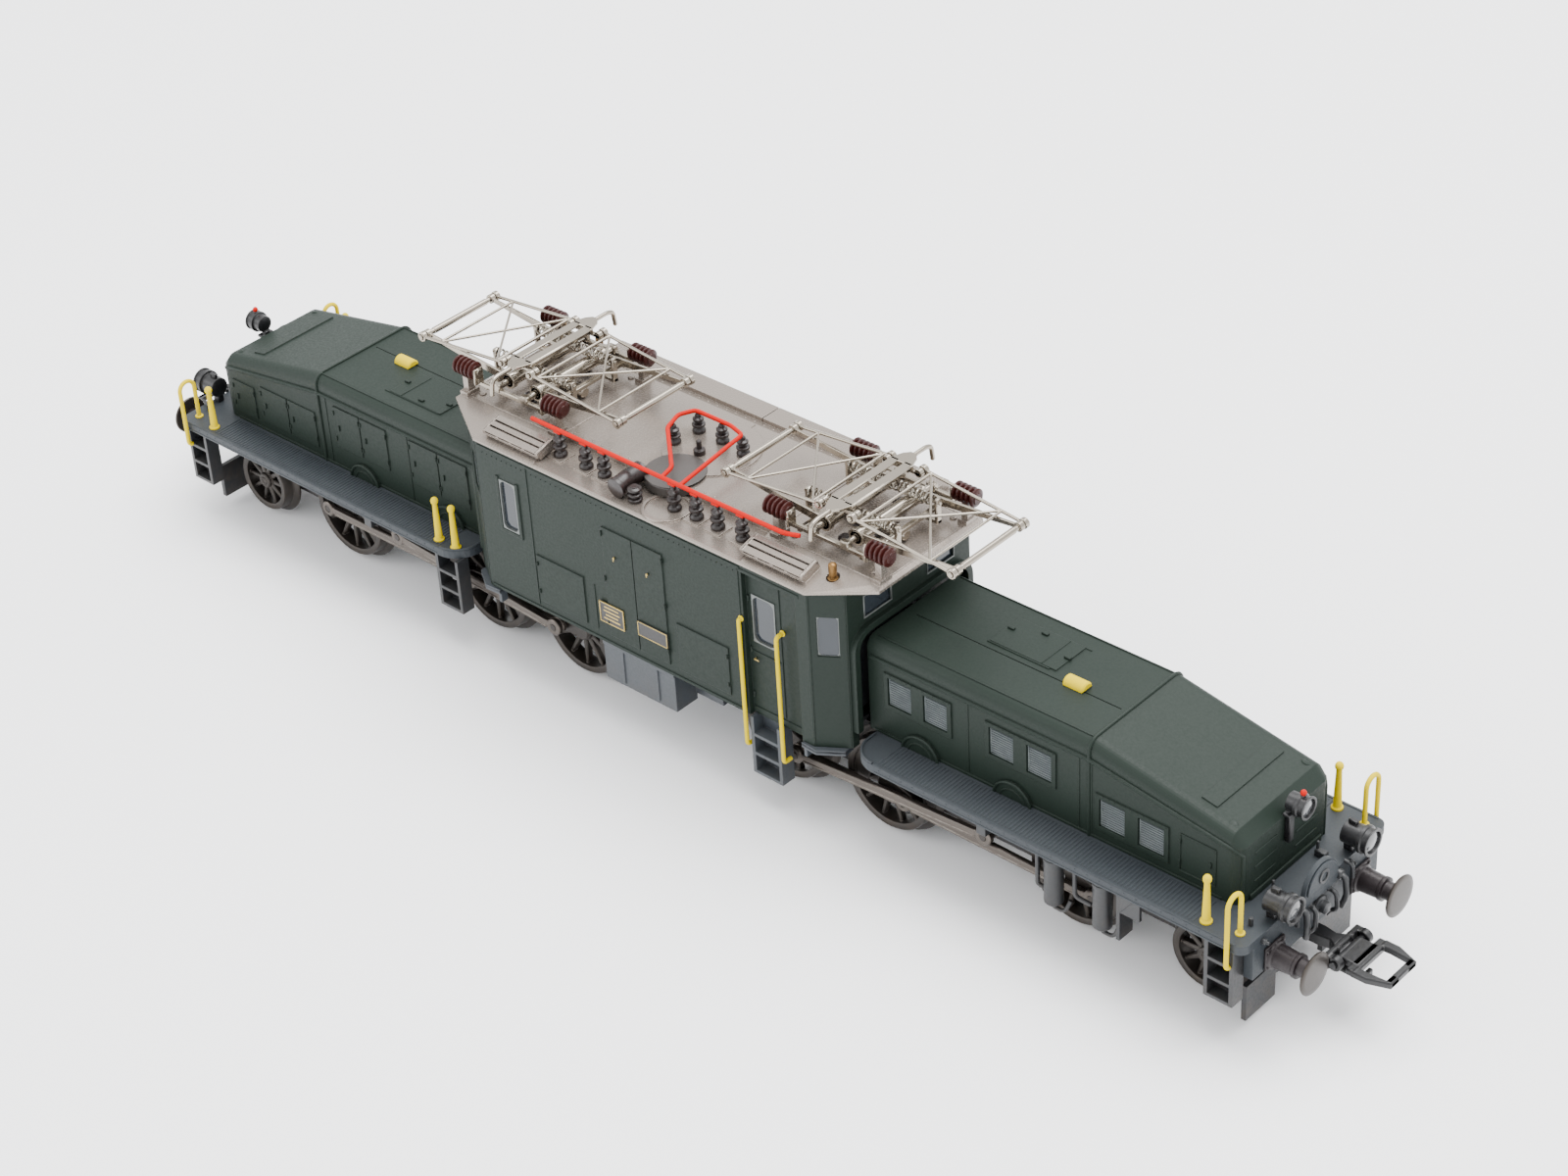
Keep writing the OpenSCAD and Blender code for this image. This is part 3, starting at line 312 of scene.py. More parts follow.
def inset(outline, c):
    """The outline drawn in by c."""
    n = len(outline)
    area = sum(
        outline[i][0] * outline[(i + 1) % n][1] - outline[(i + 1) % n][0] * outline[i][1]
        for i in range(n)
    )
    turn = 1 if area > 0 else -1
    result = []
    for i in range(n):
        p = Vector(outline[i])
        a = (p - Vector(outline[i - 1])).normalized()
        b = (Vector(outline[(i + 1) % n]) - p).normalized()
        normal_a = Vector((-a.y, a.x)) * turn
        normal_b = Vector((-b.y, b.x)) * turn
        middle = (normal_a + normal_b).normalized()
        result.append(p + middle * c / max(0.5, middle.dot(normal_a)))
    return [(p.x, p.y) for p in result]


def arc(cx, cy, r, start, end, steps):
    """Points of an arc, with angles in degrees."""
    return [
        (cx + r * math.cos(math.radians(start + (end - start) * i / steps)),
         cy + r * math.sin(math.radians(start + (end - start) * i / steps)))
        for i in range(steps + 1)
    ]


def rounded(x0, y0, x1, y1, r, steps=5):
    """Outline of a rectangle with round corners."""
    return (
        arc(x1 - r, y0 + r, r, -90, 0, steps) + arc(x1 - r, y1 - r, r, 0, 90, steps)
        + arc(x0 + r, y1 - r, r, 90, 180, steps) + arc(x0 + r, y0 + r, r, 180, 270, steps)
    )


# ---------------------------------------------------------------- materials


class Nodes:
    """Short hand for building a material's node tree."""

    def __init__(self, name):
        self.material = bpy.data.materials.new(name)
        self.material.use_nodes = True
        self.tree = self.material.node_tree
        self.shader = self.tree.nodes["Principled BSDF"]
        self.coords = self.add("ShaderNodeTexCoord").outputs["Object"]

    def add(self, kind, **values):
        node = self.tree.nodes.new(kind)
        for key, value in values.items():
            if hasattr(node, key):
                setattr(node, key, value)
            else:
                node.inputs[key.replace("_", " ").title()].default_value = value
        return node

    def link(self, output, target):
        self.tree.links.new(output, target)

    def noise(self, scale, detail=4.0, rough=0.55):
        node = self.add("ShaderNodeTexNoise", Scale=scale, Detail=detail, Roughness=rough)
        self.link(self.coords, node.inputs["Vector"])
        return node.outputs["Fac"]

    def math(self, operation, a, b):
        node = self.add("ShaderNodeMath", operation=operation)
        for socket, value in zip(node.inputs, (a, b)):
            if isinstance(value, (int, float)):
                socket.default_value = value
            else:
                self.link(value, socket)
        return node.outputs[0]

    def span(self, value, low, high, out_low, out_high):
        node = self.add("ShaderNodeMapRange")
        self.link(value, node.inputs["Value"])
        for key, number in (
            ("From Min", low), ("From Max", high), ("To Min", out_low), ("To Max", out_high)
        ):
            node.inputs[key].default_value = number
        return node.outputs["Result"]

    def mix(self, factor, a, b):
        node = self.add("ShaderNodeMix", data_type="RGBA")
        self.link(factor, node.inputs[0])
        for socket, value in ((node.inputs[6], a), (node.inputs[7], b)):
            if isinstance(value, tuple):
                socket.default_value = value
            else:
                self.link(value, socket)
        return node.outputs[2]


def linear(r, g, b):
    """An 8-bit sRGB colour as linear RGBA."""
    def channel(v):
        v /= 255
        return v / 12.92 if v <= 0.04045 else ((v + 0.055) / 1.055) ** 2.4
    return (channel(r), channel(g), channel(b), 1)


def scaled(colour, k):
    return tuple(min(1.0, v * k) for v in colour[:3]) + (1,)


# Every paint is darkened by this much, because the paper is lit brightly
LIGHT_TRIM = 0.64


def surface(
    name, colour, rough=0.45, metal=0.0, vary=0.1, grain=0.35, wear=None, wear_amount=0.5,
    edge=0.16, dust=0.0, coat=0.0, shine=0.5, dirt=None,
):
    """Paint, plastic or metal with colour drift, fine grain, rubbed edges and settled dust."""
    n = Nodes(name)
    colour = scaled(colour, LIGHT_TRIM)
    broad = n.noise(42, 5)
    fine = n.noise(2600, 3)
    drift = n.span(broad, 0.3, 0.7, 0, 1)
    tone = n.mix(drift, scaled(colour, 1 - vary), scaled(colour, 1 + vary))
    mottle = n.span(n.noise(420, 6, 0.65), 0.42, 0.68, 0, 1)
    tone = n.mix(n.math("MULTIPLY", mottle, 0.35), tone, scaled(colour, 1 - 1.6 * vary))
    geometry = n.add("ShaderNodeNewGeometry")
    soft = n.add("ShaderNodeBevel", samples=4)
    soft.inputs["Radius"].default_value = edge * MM
    dot = n.add("ShaderNodeVectorMath", operation="DOT_PRODUCT")
    n.link(soft.outputs["Normal"], dot.inputs[0])
    n.link(geometry.outputs["Normal"], dot.inputs[1])
    rim = n.span(dot.outputs["Value"], 0.985, 0.8, 0, 1)
    if wear:
        patch = n.span(n.noise(700, 5, 0.7), 0.38, 0.62, 0, wear_amount)
        tone = n.mix(n.math("MULTIPLY", rim, patch), tone, wear)
    if dust:
        up = n.add("ShaderNodeSeparateXYZ")
        n.link(geometry.outputs["Normal"], up.inputs[0])
        settled = n.math("MULTIPLY", n.span(up.outputs["Z"], 0.2, 1.0, 0, dust), drift)
        tone = n.mix(settled, tone, linear(150, 150, 146))
    if dirt:
        place = n.add("ShaderNodeSeparateXYZ")
        n.link(n.coords, place.inputs[0])
        low = n.span(place.outputs["Z"], dirt * MM, 0.001, 0, 0.55)
        tone = n.mix(n.math("MULTIPLY", low, mottle), tone, linear(70, 60, 50))
    n.link(tone, n.shader.inputs["Base Color"])
    spread = 0.08 if metal < 0.5 else 0.02
    n.link(n.span(fine, 0.3, 0.7, rough - spread, rough + spread), n.shader.inputs["Roughness"])
    n.shader.inputs["Metallic"].default_value = metal
    n.shader.inputs["Specular IOR Level"].default_value = shine
    n.shader.inputs["Coat Weight"].default_value = coat
    n.shader.inputs["Coat Roughness"].default_value = 0.25
    bump = n.add("ShaderNodeBump")
    bump.inputs["Strength"].default_value = grain
    bump.inputs["Distance"].default_value = 0.04 * MM
    n.link(fine, bump.inputs["Height"])
    n.link(soft.outputs["Normal"], bump.inputs["Normal"])
    n.link(bump.outputs["Normal"], n.shader.inputs["Normal"])
    return n.material


def glass(name):
    n = Nodes(name)
    smear = n.noise(60, 3)
    n.link(n.mix(n.span(smear, 0.3, 0.7, 0, 1), linear(46, 52, 58), linear(34, 40, 46)),
           n.shader.inputs["Base Color"])
    n.link(n.span(smear, 0.3, 0.7, 0.03, 0.07), n.shader.inputs["Roughness"])
    n.shader.inputs["IOR"].default_value = 1.49
    n.shader.inputs["Transmission Weight"].default_value = 0.15
    return n.material


BARE = linear(176, 172, 164)
GREEN = surface("green_paint", linear(32, 44, 37), 0.5, vary=0.04, wear=linear(62, 74, 66),
                wear_amount=0.3, dust=0.01, grain=0.06, shine=0.18)
ROOF = surface("roof_metal_paint", linear(172, 161, 151), 0.27, metal=0.65, vary=0.01,
               wear=linear(196, 186, 176), wear_amount=0.3, grain=0.02, edge=0.14)
DECK = surface("deck_paint", linear(54, 60, 65), 0.5, vary=0.05, wear=linear(92, 98, 102),
               wear_amount=0.4, dust=0.04, grain=0.24, shine=0.3)
BOX = surface("underfloor_paint", linear(66, 72, 78), 0.44, vary=0.07, wear=linear(104, 108, 110),
              wear_amount=0.45, dust=0.06, grain=0.2, dirt=14)
DARK = surface("dark_paint", linear(40, 42, 45), 0.42, vary=0.12, wear=linear(92, 92, 90),
               wear_amount=0.4, dust=0.06, dirt=16, grain=0.2)
COUPLER = surface("coupler_black", linear(24, 24, 26), 0.36, vary=0.12, wear=linear(80, 78, 76),
                  wear_amount=0.45, grain=0.2)
CAST = surface("cast_frame", linear(48, 47, 48), 0.48, metal=0.3, vary=0.15, wear=BARE,
               wear_amount=0.35, grain=0.4, dirt=14)
IRON = surface("wheel_iron", linear(70, 65, 61), 0.34, metal=0.6, vary=0.14,
               wear=linear(140, 134, 126), wear_amount=0.55, grain=0.3, dirt=9)
RODS = surface("rod_steel", linear(112, 104, 97), 0.3, metal=0.8, vary=0.03, wear=BARE,
               wear_amount=0.35, grain=0.1)
NICKEL = surface("nickel", linear(190, 180, 165), 0.18, metal=0.95, vary=0.02,
                 wear=linear(240, 236, 228), wear_amount=0.2, grain=0.05, edge=0.05)
SPRING = surface("spring_wire", linear(186, 178, 164), 0.2, metal=0.95, vary=0.03, grain=0.05,
                 edge=0.03)
YELLOW = surface("yellow_paint", linear(252, 222, 0), 0.42, vary=0.02, wear=linear(250, 216, 10),
                 wear_amount=0.2, grain=0.08, shine=0.05)
RED = surface("red_paint", linear(216, 16, 6), 0.4, vary=0.04, wear=linear(216, 40, 24),
              wear_amount=0.25, grain=0.1, shine=0.08)
BLACK = surface("black_plastic", linear(36, 25, 23), 0.34, vary=0.1, wear=linear(76, 68, 70),
                wear_amount=0.3, grain=0.16)
COVER = surface("hatch_grey", linear(82, 77, 74), 0.36, metal=0.2, vary=0.06,
                wear=linear(120, 116, 110), wear_amount=0.4, grain=0.1)
BROWN = surface("brown_insulator", linear(64, 22, 18), 0.3, vary=0.08, wear=linear(92, 46, 40),
                wear_amount=0.3, grain=0.06, shine=0.3)
BRASS = surface("brass", linear(224, 196, 120), 0.28, metal=0.8, vary=0.04, grain=0.12)
BRONZE = surface("bronze", linear(150, 112, 62), 0.34, metal=0.7, vary=0.06, grain=0.12)
LOUVRE = surface("louvre_metal", linear(96, 104, 106), 0.4, metal=0.25, vary=0.04,
                 wear=linear(160, 166, 164), wear_amount=0.5, grain=0.15)
RIM = surface("window_rim", linear(120, 124, 122), 0.32, metal=0.5, vary=0.05, grain=0.1, edge=0.05)
PLATE = surface("plate_field", linear(40, 38, 38), 0.4, vary=0.08, wear=linear(96, 92, 86),
                wear_amount=0.4, grain=0.15)
HEAD = surface("buffer_head", linear(72, 66, 61), 0.3, metal=0.6, vary=0.12, grain=0.25)
SHANK = surface("buffer_shank", linear(46, 38, 40), 0.4, metal=0.3, vary=0.15)
LENS = surface("lamp_lens", linear(64, 66, 70), 0.1, vary=0.05, coat=1.0, grain=0.03)
GLASS = glass("window_glass")

CAD_LOOKS = {
    "body_shell": GREEN, "underframe": DARK, "underfloor_gear": BOX, "roof": ROOF,
    "glazing": GLASS, "ballast": CAST, "pivot_screws": RODS,
    "motor": RODS, "motor_pinion": BRASS,
}
for end in ENDS:
    CAD_LOOKS["b%d_frame" % end] = CAST
    CAD_LOOKS["b%d_deck" % end] = DECK
    CAD_LOOKS["b%d_hood" % end] = GREEN
    CAD_LOOKS["b%d_fittings" % end] = DARK
for node, look in CAD_LOOKS.items():
    mesh = frame["nodes"][node].data
    if not mesh.materials:
        mesh.materials.append(look)
    for i in range(len(mesh.materials)):
        mesh.materials[i] = look


# ---------------------------------------------------------------- wheels and rods

WHEEL_Y = 7.15
WHEEL_W = 2.8
FLANGE = 1.1
DRIVER_R = cad("b1_driver_1")[1][2] / 2 - FLANGE
CARRIER_R = cad("b1_carrier")[1][2] / 2 - FLANGE
CRANK = 3.9
ROD_Y = 10.35
ROD_T = 0.75
SLANT_Y = 11.3
PIN_R = 0.6
# Crank angles above level towards the buffers, on the bogie's own -y and +y sides
CRANK_ANGLES = {1: (75, -15), 2: (0, -90)}


def wheel(shape, r, spokes, crank, pin_end):
    """One spoked wheel on the +y side, centred on the axis, crank pin along +x."""
    rim_in = r - 1.15
    y0, y1 = WHEEL_Y, WHEEL_Y + WHEEL_W
    shape.ring((0, 0, 0), (0, 1, 0), [
        (y0, rim_in + 0.1), (y0, r + FLANGE - 0.35), (y0 + 0.15, r + FLANGE - 0.05),
        (y0 + 0.45, r + FLANGE), (y0 + 0.75, r + FLANGE - 0.3), (y0 + 0.95, r + 0.12),
        (y0 + 1.2, r), (y1 - 0.2, r - 0.04), (y1, r - 0.2), (y1, rim_in + 0.25),
        (y1 - 0.15, rim_in), (y0 + 0.2, rim_in),
    ], 64)
    hub = r * 0.25
    shape.lathe((0, y0, 0), (0, 1, 0), [
        (0, hub), (WHEEL_W - 0.3, hub), (WHEEL_W - 0.1, hub - 0.2), (WHEEL_W - 0.1, hub - 0.6),
        (WHEEL_W + 0.05, hub - 0.7), (WHEEL_W + 0.05, 0.45), (WHEEL_W - 0.1, 0.3),
    ], 32)
    base = shape.place
    for i in range(spokes):
        shape.place = base @ Matrix.Rotation(2 * math.pi * i / spokes, 4, "Y")
        outline = [(hub - 0.3, -0.48), (rim_in + 0.25, -0.3), (rim_in + 0.25, 0.3),
                   (hub - 0.3, 0.48)]
        shape.plate(outline, (0, y1 - 0.65, 0), *ALONG, 1.25, c=0.2)
    shape.place = base
    if crank:
        weight = arc(0, 0, rim_in + 0.15, 140, 220, 14)
        weight += [(-r * 0.46, -r * 0.3), (-r * 0.46, r * 0.3)]
        shape.plate(weight, (0, y1 - 0.45, 0), *ALONG, 1.5, c=0.15)
        boss = arc(0, 0, 1.7, 100, 260, 10) + arc(CRANK, 0, 1.35, -80, 80, 10)
        shape.plate(boss, (0, y1 + 0.2, 0), *ALONG, 1.6, c=0.15)
        shape.bar((CRANK, y1, 0), (CRANK, pin_end, 0), PIN_R, 16)


def wheelset(shape, r, spokes, angles, pin_end=0):
    base = shape.place
    shape.bar((0, -WHEEL_Y - 0.3, 0), (0, WHEEL_Y + 0.3, 0), 1.0, 20)
    for side, mirror in enumerate(SIDES):
        turn = Matrix.Rotation(-math.radians(angles[side]), 4, "Y") if angles else IDENTITY
        shape.place = base @ mirror @ turn
        wheel(shape, r, spokes, angles is not None, pin_end)
    shape.place = base


def jackshaft(shape, angles, geared):
    base = shape.place
    shape.bar((0, -WHEEL_Y - 2, 0), (0, WHEEL_Y + 2, 0), 1.0, 20)
    for side, mirror in enumerate(SIDES):
        shape.place = base @ mirror @ Matrix.Rotation(-math.radians(angles[side]), 4, "Y")
        y = WHEEL_Y + WHEEL_W
        shape.lathe((0, WHEEL_Y + 0.4, 0), (0, 1, 0),
                    [(0, 3.1), (0.15, 3.2), (2.4, 3.2), (2.6, 3.0)], 32)
        arm = arc(0, 0, 2.2, 100, 260, 12) + arc(CRANK, 0, 1.25, -80, 80, 10)
        shape.plate(arm, (0, y + 0.35, 0), *ALONG, 1.4, c=0.15)
        shape.bar((0, y, 0), (0, y + 0.6, 0), 1.0, 20)
        shape.bar((CRANK, y, 0), (CRANK, SLANT_Y - 0.15, 0), 1.1, 20)
        shape.bar((CRANK, y, 0), (CRANK, SLANT_Y + 0.95, 0), PIN_R, 16)
    shape.place = base
    if geared:
        teeth = 24
        module = 0.4
        outline = []
        for i in range(teeth):
            a = 360 / teeth * i
            for da, dr in ((-4.6, -0.47), (-1.4, 0.3), (1.4, 0.3), (4.6, -0.47)):
                outline += arc(0, 0, module * teeth / 2 + dr, a + da, a + da, 1)[:1]
        shape.plate(outline, (0, 4.2, 0), *ALONG, 1.6, c=0.05)


def rod_bar(shape, a, b, y, half, thick):
    """A fluted rod from a to b in the XZ plane, with its outer face at y + thick."""
    a, b = Vector(a), Vector(b)
    length = (b - a).length
    along = (b - a).normalized()
    u = (along.x, 0, along.y)
    v = (-along.y, 0, along.x)
    waist = half * 0.78
    middle = half * 1.02
    top = [(length, waist), (length * 0.75, (middle + waist) / 2), (length / 2, middle),
           (length * 0.25, (middle + waist) / 2), (0, waist)]
    outline = [(x, -h) for x, h in reversed(top)] + top
    shape.plate(outline, (a.x, y + thick, a.y), u, v, thick, c=0.1)
    for side in (-1, 1):
        edge = sorted((side * half * 0.5, side * half * 0.85))
        rail = [(1.6, edge[0]), (length - 1.6, edge[0]), (length - 1.6, edge[1]), (1.6, edge[1])]
        shape.plate(rail, (a.x, y + thick + 0.12, a.y), u, v, 0.3, c=0.05)


def rod_eye(shape, x, z, y, r, thick):
    shape.ring((x, y, z), (0, 1, 0), [
        (-0.05, PIN_R + 0.05), (-0.05, r - 0.15), (0.1, r), (thick - 0.05, r),
        (thick + 0.12, r - 0.2), (thick + 0.12, PIN_R + 0.05),
    ], 28)


for end, turn in ENDS.items():
    tag = "b%d_" % end
    angles = CRANK_ANGLES[end]
    drivers = []
    for k in (1, 2, 3):
        x, _, z = joint_mm("driver_%d%d_roll" % (end, k))
        drivers.append((abs(x), z))
        s = Shape(turn @ at(abs(x), 0, z))
        wheelset(s, DRIVER_R, 12, angles, SLANT_Y + (0.95 if k == 3 else -0.12))
        s.done("wheelset_%sdriver_%d" % (tag, k), "driver_%d%d" % (end, k), IRON, "wheel_iron",
               "%sdriver_%d" % (tag, k))
    x, _, z = joint_mm("carrier_%d_roll" % end)
    s = Shape(turn @ at(abs(x), 0, z))
    wheelset(s, CARRIER_R, 10, None)
    s.done("wheelset_%scarrier" % tag, "carrier_%d" % end, IRON, "wheel_iron", tag + "carrier")
    jx, _, jz = joint_mm("jackshaft_%d_turn" % end)
    s = Shape(turn @ at(abs(jx), 0, jz))
    jackshaft(s, angles, end == 1)
    s.done("jackshaft_%d_shaft" % end, "jackshaft_%d" % end, IRON, "wheel_iron", tag + "jackshaft")
    for side, mirror in enumerate(SIDES):
        a = math.radians(angles[side])
        dx, dz = CRANK * math.cos(a), CRANK * math.sin(a)
        pins = [(x + dx, z + dz) for x, z in drivers]
        s = Shape(turn @ mirror)
        for p, q in zip(pins, pins[1:]):
            rod_bar(s, p, q, ROD_Y, 0.8, ROD_T)
        for x, z in pins:
            rod_eye(s, x, z, ROD_Y, 1.35, ROD_T)
        jack = (abs(jx) + dx, jz + dz)
        rod_bar(s, jack, pins[2], SLANT_Y, 0.85, ROD_T)
        for x, z in (jack, pins[2]):
            rod_eye(s, x, z, SLANT_Y, 1.45, ROD_T)
        near = (side == 1) == (end == 1)
        label = "near" if near else "far"
        s.done("rods_%d_%s_set" % (end, label), "rods_%d_%s" % (end, label), RODS, "rod_steel",
               "%srods_%s" % (tag, label))

# ---------------------------------------------------------------- pantographs

PANTO_X = (joint_mm("p1_raise")[0] + joint_mm("p1_lower_b_turn")[0]) / 2
SHAFT_DX = joint_mm("p1_raise")[0] - PANTO_X
SHAFT_Z = joint_mm("p1_raise")[2]
KNEE_DX = joint_mm("p1_knee_a")[0] - PANTO_X
KNEE_Z = joint_mm("p1_knee_a")[2]
HEAD_Z = joint_mm("p1_head_level")[2]
INSULATOR = cad("panto_insulators")
INSULATOR_R = 1.45
INSULATOR_LEN = 4.2
INSULATOR_Y = INSULATOR[1][1] - INSULATOR_R
INSULATOR_DX = 9.5
INSULATOR_Z = INSULATOR[1][2] - INSULATOR_R
STRIP_Z = 51.9
SPRING_Y = 4.35
SPRING_Z = 49.75


def lower_arm(s):
    s.ring((SHAFT_DX, 0, SHAFT_Z), (0, 1, 0), [
        (-7.2, 0.6), (-7.2, 1.0), (-7.1, 1.1), (7.1, 1.1), (7.2, 1.0), (7.2, 0.6),
    ], 24)
    dx, dz = KNEE_DX - SHAFT_DX, KNEE_Z - SHAFT_Z
    length = math.hypot(dx, dz)
    u = (dx / length, 0, dz / length)
    v = (-dz / length, 0, dx / length)
    for side in (-1, 1):
        outline = [(0.6, -0.75), (length + 0.2, -0.32), (length + 0.2, 0.32), (0.6, 0.75)]
        s.plate(outline, (SHAFT_DX, side * 6.75 + 0.2, SHAFT_Z), u, v, 0.4, c=0.06)
        s.bar((SHAFT_DX, side * 6.3, SHAFT_Z), (SHAFT_DX, side * 7.2, SHAFT_Z), 1.35, 24)
        s.bar((KNEE_DX, side * 7.25, KNEE_Z), (KNEE_DX, side * 6.4, KNEE_Z), 0.75, 18)
    s.bar((KNEE_DX, -8.4, KNEE_Z), (KNEE_DX, 8.4, KNEE_Z), 0.42, 14)
    s.bar((KNEE_DX, -5.6, KNEE_Z), (KNEE_DX, 5.6, KNEE_Z), 0.52, 14)


def upper_arm(s):
    y = 7.8
    slope = (HEAD_Z - KNEE_Z) / (KNEE_DX - SHAFT_DX)
    end_x = SHAFT_DX + 1.3
    mid_x = KNEE_DX - 4

    def on(x, side):
        return (x, side * y, HEAD_Z - (x - SHAFT_DX) * slope)

    for side in (-1, 1):
        s.bar(on(KNEE_DX, side), on(SHAFT_DX, side), 0.26, 10)
        for x, z, r in ((KNEE_DX, KNEE_Z, 0.5), (SHAFT_DX, HEAD_Z, 0.46)):
            s.ring((x, side * y, z), (0, 1, 0), [
                (-0.4, r), (-0.4, r + 0.2), (-0.3, r + 0.32), (0.3, r + 0.32), (0.4, r + 0.2),
                (0.4, r),
            ], 20)
        s.bar(on(mid_x, side), on(end_x, -side), 0.2, 10)
    s.bar(on(end_x, -1), on(end_x, 1), 0.26, 10)
    s.bar(on(mid_x, -1), on(mid_x, 1), 0.22, 10)


def collector(s):
    """Pan with one long slot, down-turned rims, tapered ends and bent horns."""
    for side in (-1, 1):
        s.box((side * 0.5, -6.7, STRIP_Z + 0.12), (side * 1.95, 6.7, STRIP_Z + 0.5), 0.12)
        s.box((side * 1.65, -6.6, STRIP_Z - 0.25), (side * 2.1, 6.6, STRIP_Z + 0.42), 0.1)
        wedge = [(-2.1, 6.2), (-1.3, 8.3), (-0.5, 9.2), (0.5, 9.2), (1.3, 8.3), (2.1, 6.2)]
        s.plate([(x, side * y) for x, y in wedge], (0, 0, STRIP_Z + 0.5), *FLAT, -0.4)
        s.wire([(0, side * 8.2, 52), (0, side * 11.8, 52), (0, side * 12.9, 51.6),
                (0, side * 13.2, 49.5)], 0.36, 0.9)
        s.ball((0, side * 13.2, 49.45), 0.38, 12, 6)
        s.box((-SHAFT_DX - 0.5, side * 6.4, 51.0), (SHAFT_DX + 0.5, side * 7.0, 51.6), 0.1)
        s.box((-0.9, side * 6.4, 51.3), (0.9, side * 7.0, STRIP_Z + 0.1), 0.08)
        for end_x in (-SHAFT_DX, SHAFT_DX):
            s.bar((end_x, side * 6.4, HEAD_Z), (end_x, side * 7.2, HEAD_Z), 0.65, 16)
            s.bar((end_x, side * 6.5, HEAD_Z), (end_x, side * 8.5, HEAD_Z), 0.38, 12)
    s.box((-0.8, -0.35, STRIP_Z + 0.05), (0.8, 0.35, STRIP_Z + 0.35), 0.08)


def base_frame(s):
    """Side rails, arm shafts, spring lugs and the lifting cylinder."""
    inner = INSULATOR_DX - INSULATOR_LEN / 2
    for side in (-1, 1):
        y = side * INSULATOR_Y
        s.box((-inner, y - 0.35, 46.9), (inner, y + 0.35, 47.7), 0.12)
        s.box((-inner, y - 0.35 - side * 0.3, 46.9), (inner, y + 0.35 - side * 0.3, 47.15), 0.06)
        for end_x in (-1, 1):
            s.box((end_x * inner, y - 0.9, 46.9), (end_x * (inner - 0.45), y + 0.9, 49.6), 0.12)
            s.bar((end_x * (inner - 0.7), y, INSULATOR_Z),
                  (end_x * (inner - 0.3), y, INSULATOR_Z), 0.55, 6)
            s.box((end_x * SHAFT_DX - 0.8, y - 0.5, 47.2),
                  (end_x * SHAFT_DX + 0.8, y + 0.5, 48.5), 0.15)
    for end_x in (-1, 1):
        s.bar((end_x * SHAFT_DX, -INSULATOR_Y, SHAFT_Z),
              (end_x * SHAFT_DX, INSULATOR_Y, SHAFT_Z), 0.55, 18)
        s.box((end_x * 5.8 - 0.4, -INSULATOR_Y, 46.3), (end_x * 5.8 + 0.4, INSULATOR_Y, 46.98), 0.1)
        for y in (-SPRING_Y, SPRING_Y):
            s.box((end_x * 8.3 - 0.3, y - 0.5, 46.3), (end_x * 8.3 + 0.3, y + 0.5, 50.4), 0.12)
            s.box((end_x * 5.4, y - 0.45, 46.3), (end_x * 8.6, y + 0.45, 46.95), 0.1)
            s.bar((end_x * 8.0, y, SPRING_Z), (end_x * 8.9, y, SPRING_Z), 0.28, 10)
    s.lathe((-6.2, 0, 45.65), (1, 0, 0), [
        (0, 0.7), (0.15, 0.9), (3.2, 0.9), (3.3, 0.75), (9.2, 0.75), (9.3, 0.9), (12.2, 0.9),
        (12.4, 0.7),
    ], 24)


def ribbed(s, origin, axis, length, core, rib, count):
    """A turned insulator with rounded ribs."""
    profile = [(0, core)]
    pitch = length / count
    for i in range(count):
        h = i * pitch
        profile += [
            (h + pitch * 0.12, core), (h + pitch * 0.22, rib * 0.9), (h + pitch * 0.34, rib),
            (h + pitch * 0.56, rib), (h + pitch * 0.7, rib * 0.88), (h + pitch * 0.82, core),
        ]
    profile.append((length, core))
    s.lathe(origin, axis, profile, 28)


def springs(s):
    for y in (-SPRING_Y, SPRING_Y):
        s.coil((-8, y, SPRING_Z), (8, y, SPRING_Z), 0.72, 0.17, 19)


def corner_insulators(s):
    for sx in (-1, 1):
        for sy in (-1, 1):
            x, y, z = sx * INSULATOR_DX - INSULATOR_LEN / 2, sy * INSULATOR_Y, INSULATOR_Z
            ribbed(s, (x, y, z), (1, 0, 0), INSULATOR_LEN, 0.9, INSULATOR_R, 5)
            s.bar((x - 0.25, y, z), (x + 0.3, y, z), 0.45, 6)


PANTOS = (at(PANTO_X, 0, 0), at(-PANTO_X, 0, 0))
for k, place in enumerate(PANTOS, 1):
    for level, draw in (("lower", lower_arm), ("upper", upper_arm)):
        for letter, flip in (("a", IDENTITY), ("b", MIRROR_X)):
            node = "p%d_%s_%s" % (k, level, letter)
            piece("arm_" + node, node, NICKEL, "nickel", draw, [place @ flip], node)
    piece("collector_%d" % k, "p%d_head" % k, NICKEL, "nickel", collector, [place],
          "p%d_head" % k)
piece("pantograph_bases", "body", NICKEL, "nickel", base_frame, PANTOS, "panto_bases")
piece("pantograph_springs", "body", SPRING, "nickel", springs, PANTOS)
piece("pantograph_insulators", "body", BROWN, "brown_ceramic", corner_insulators, PANTOS,
      "panto_insulators")

# ---------------------------------------------------------------- roof line

ROOF_Z = 44.6
TROUGH_Z = 43.0
BUS_Y = -12.3
BUS_Z = 47.6
LOOP_Z = 48.4
POSTS_X = (-19, -13.6, -9.8, 4.4, 8.8, 13, 17.8)
LOOP_POSTS = ((-6, -1.2), (-5.2, 3.3), (-0.4, 3.3), (4.4, 2.6))


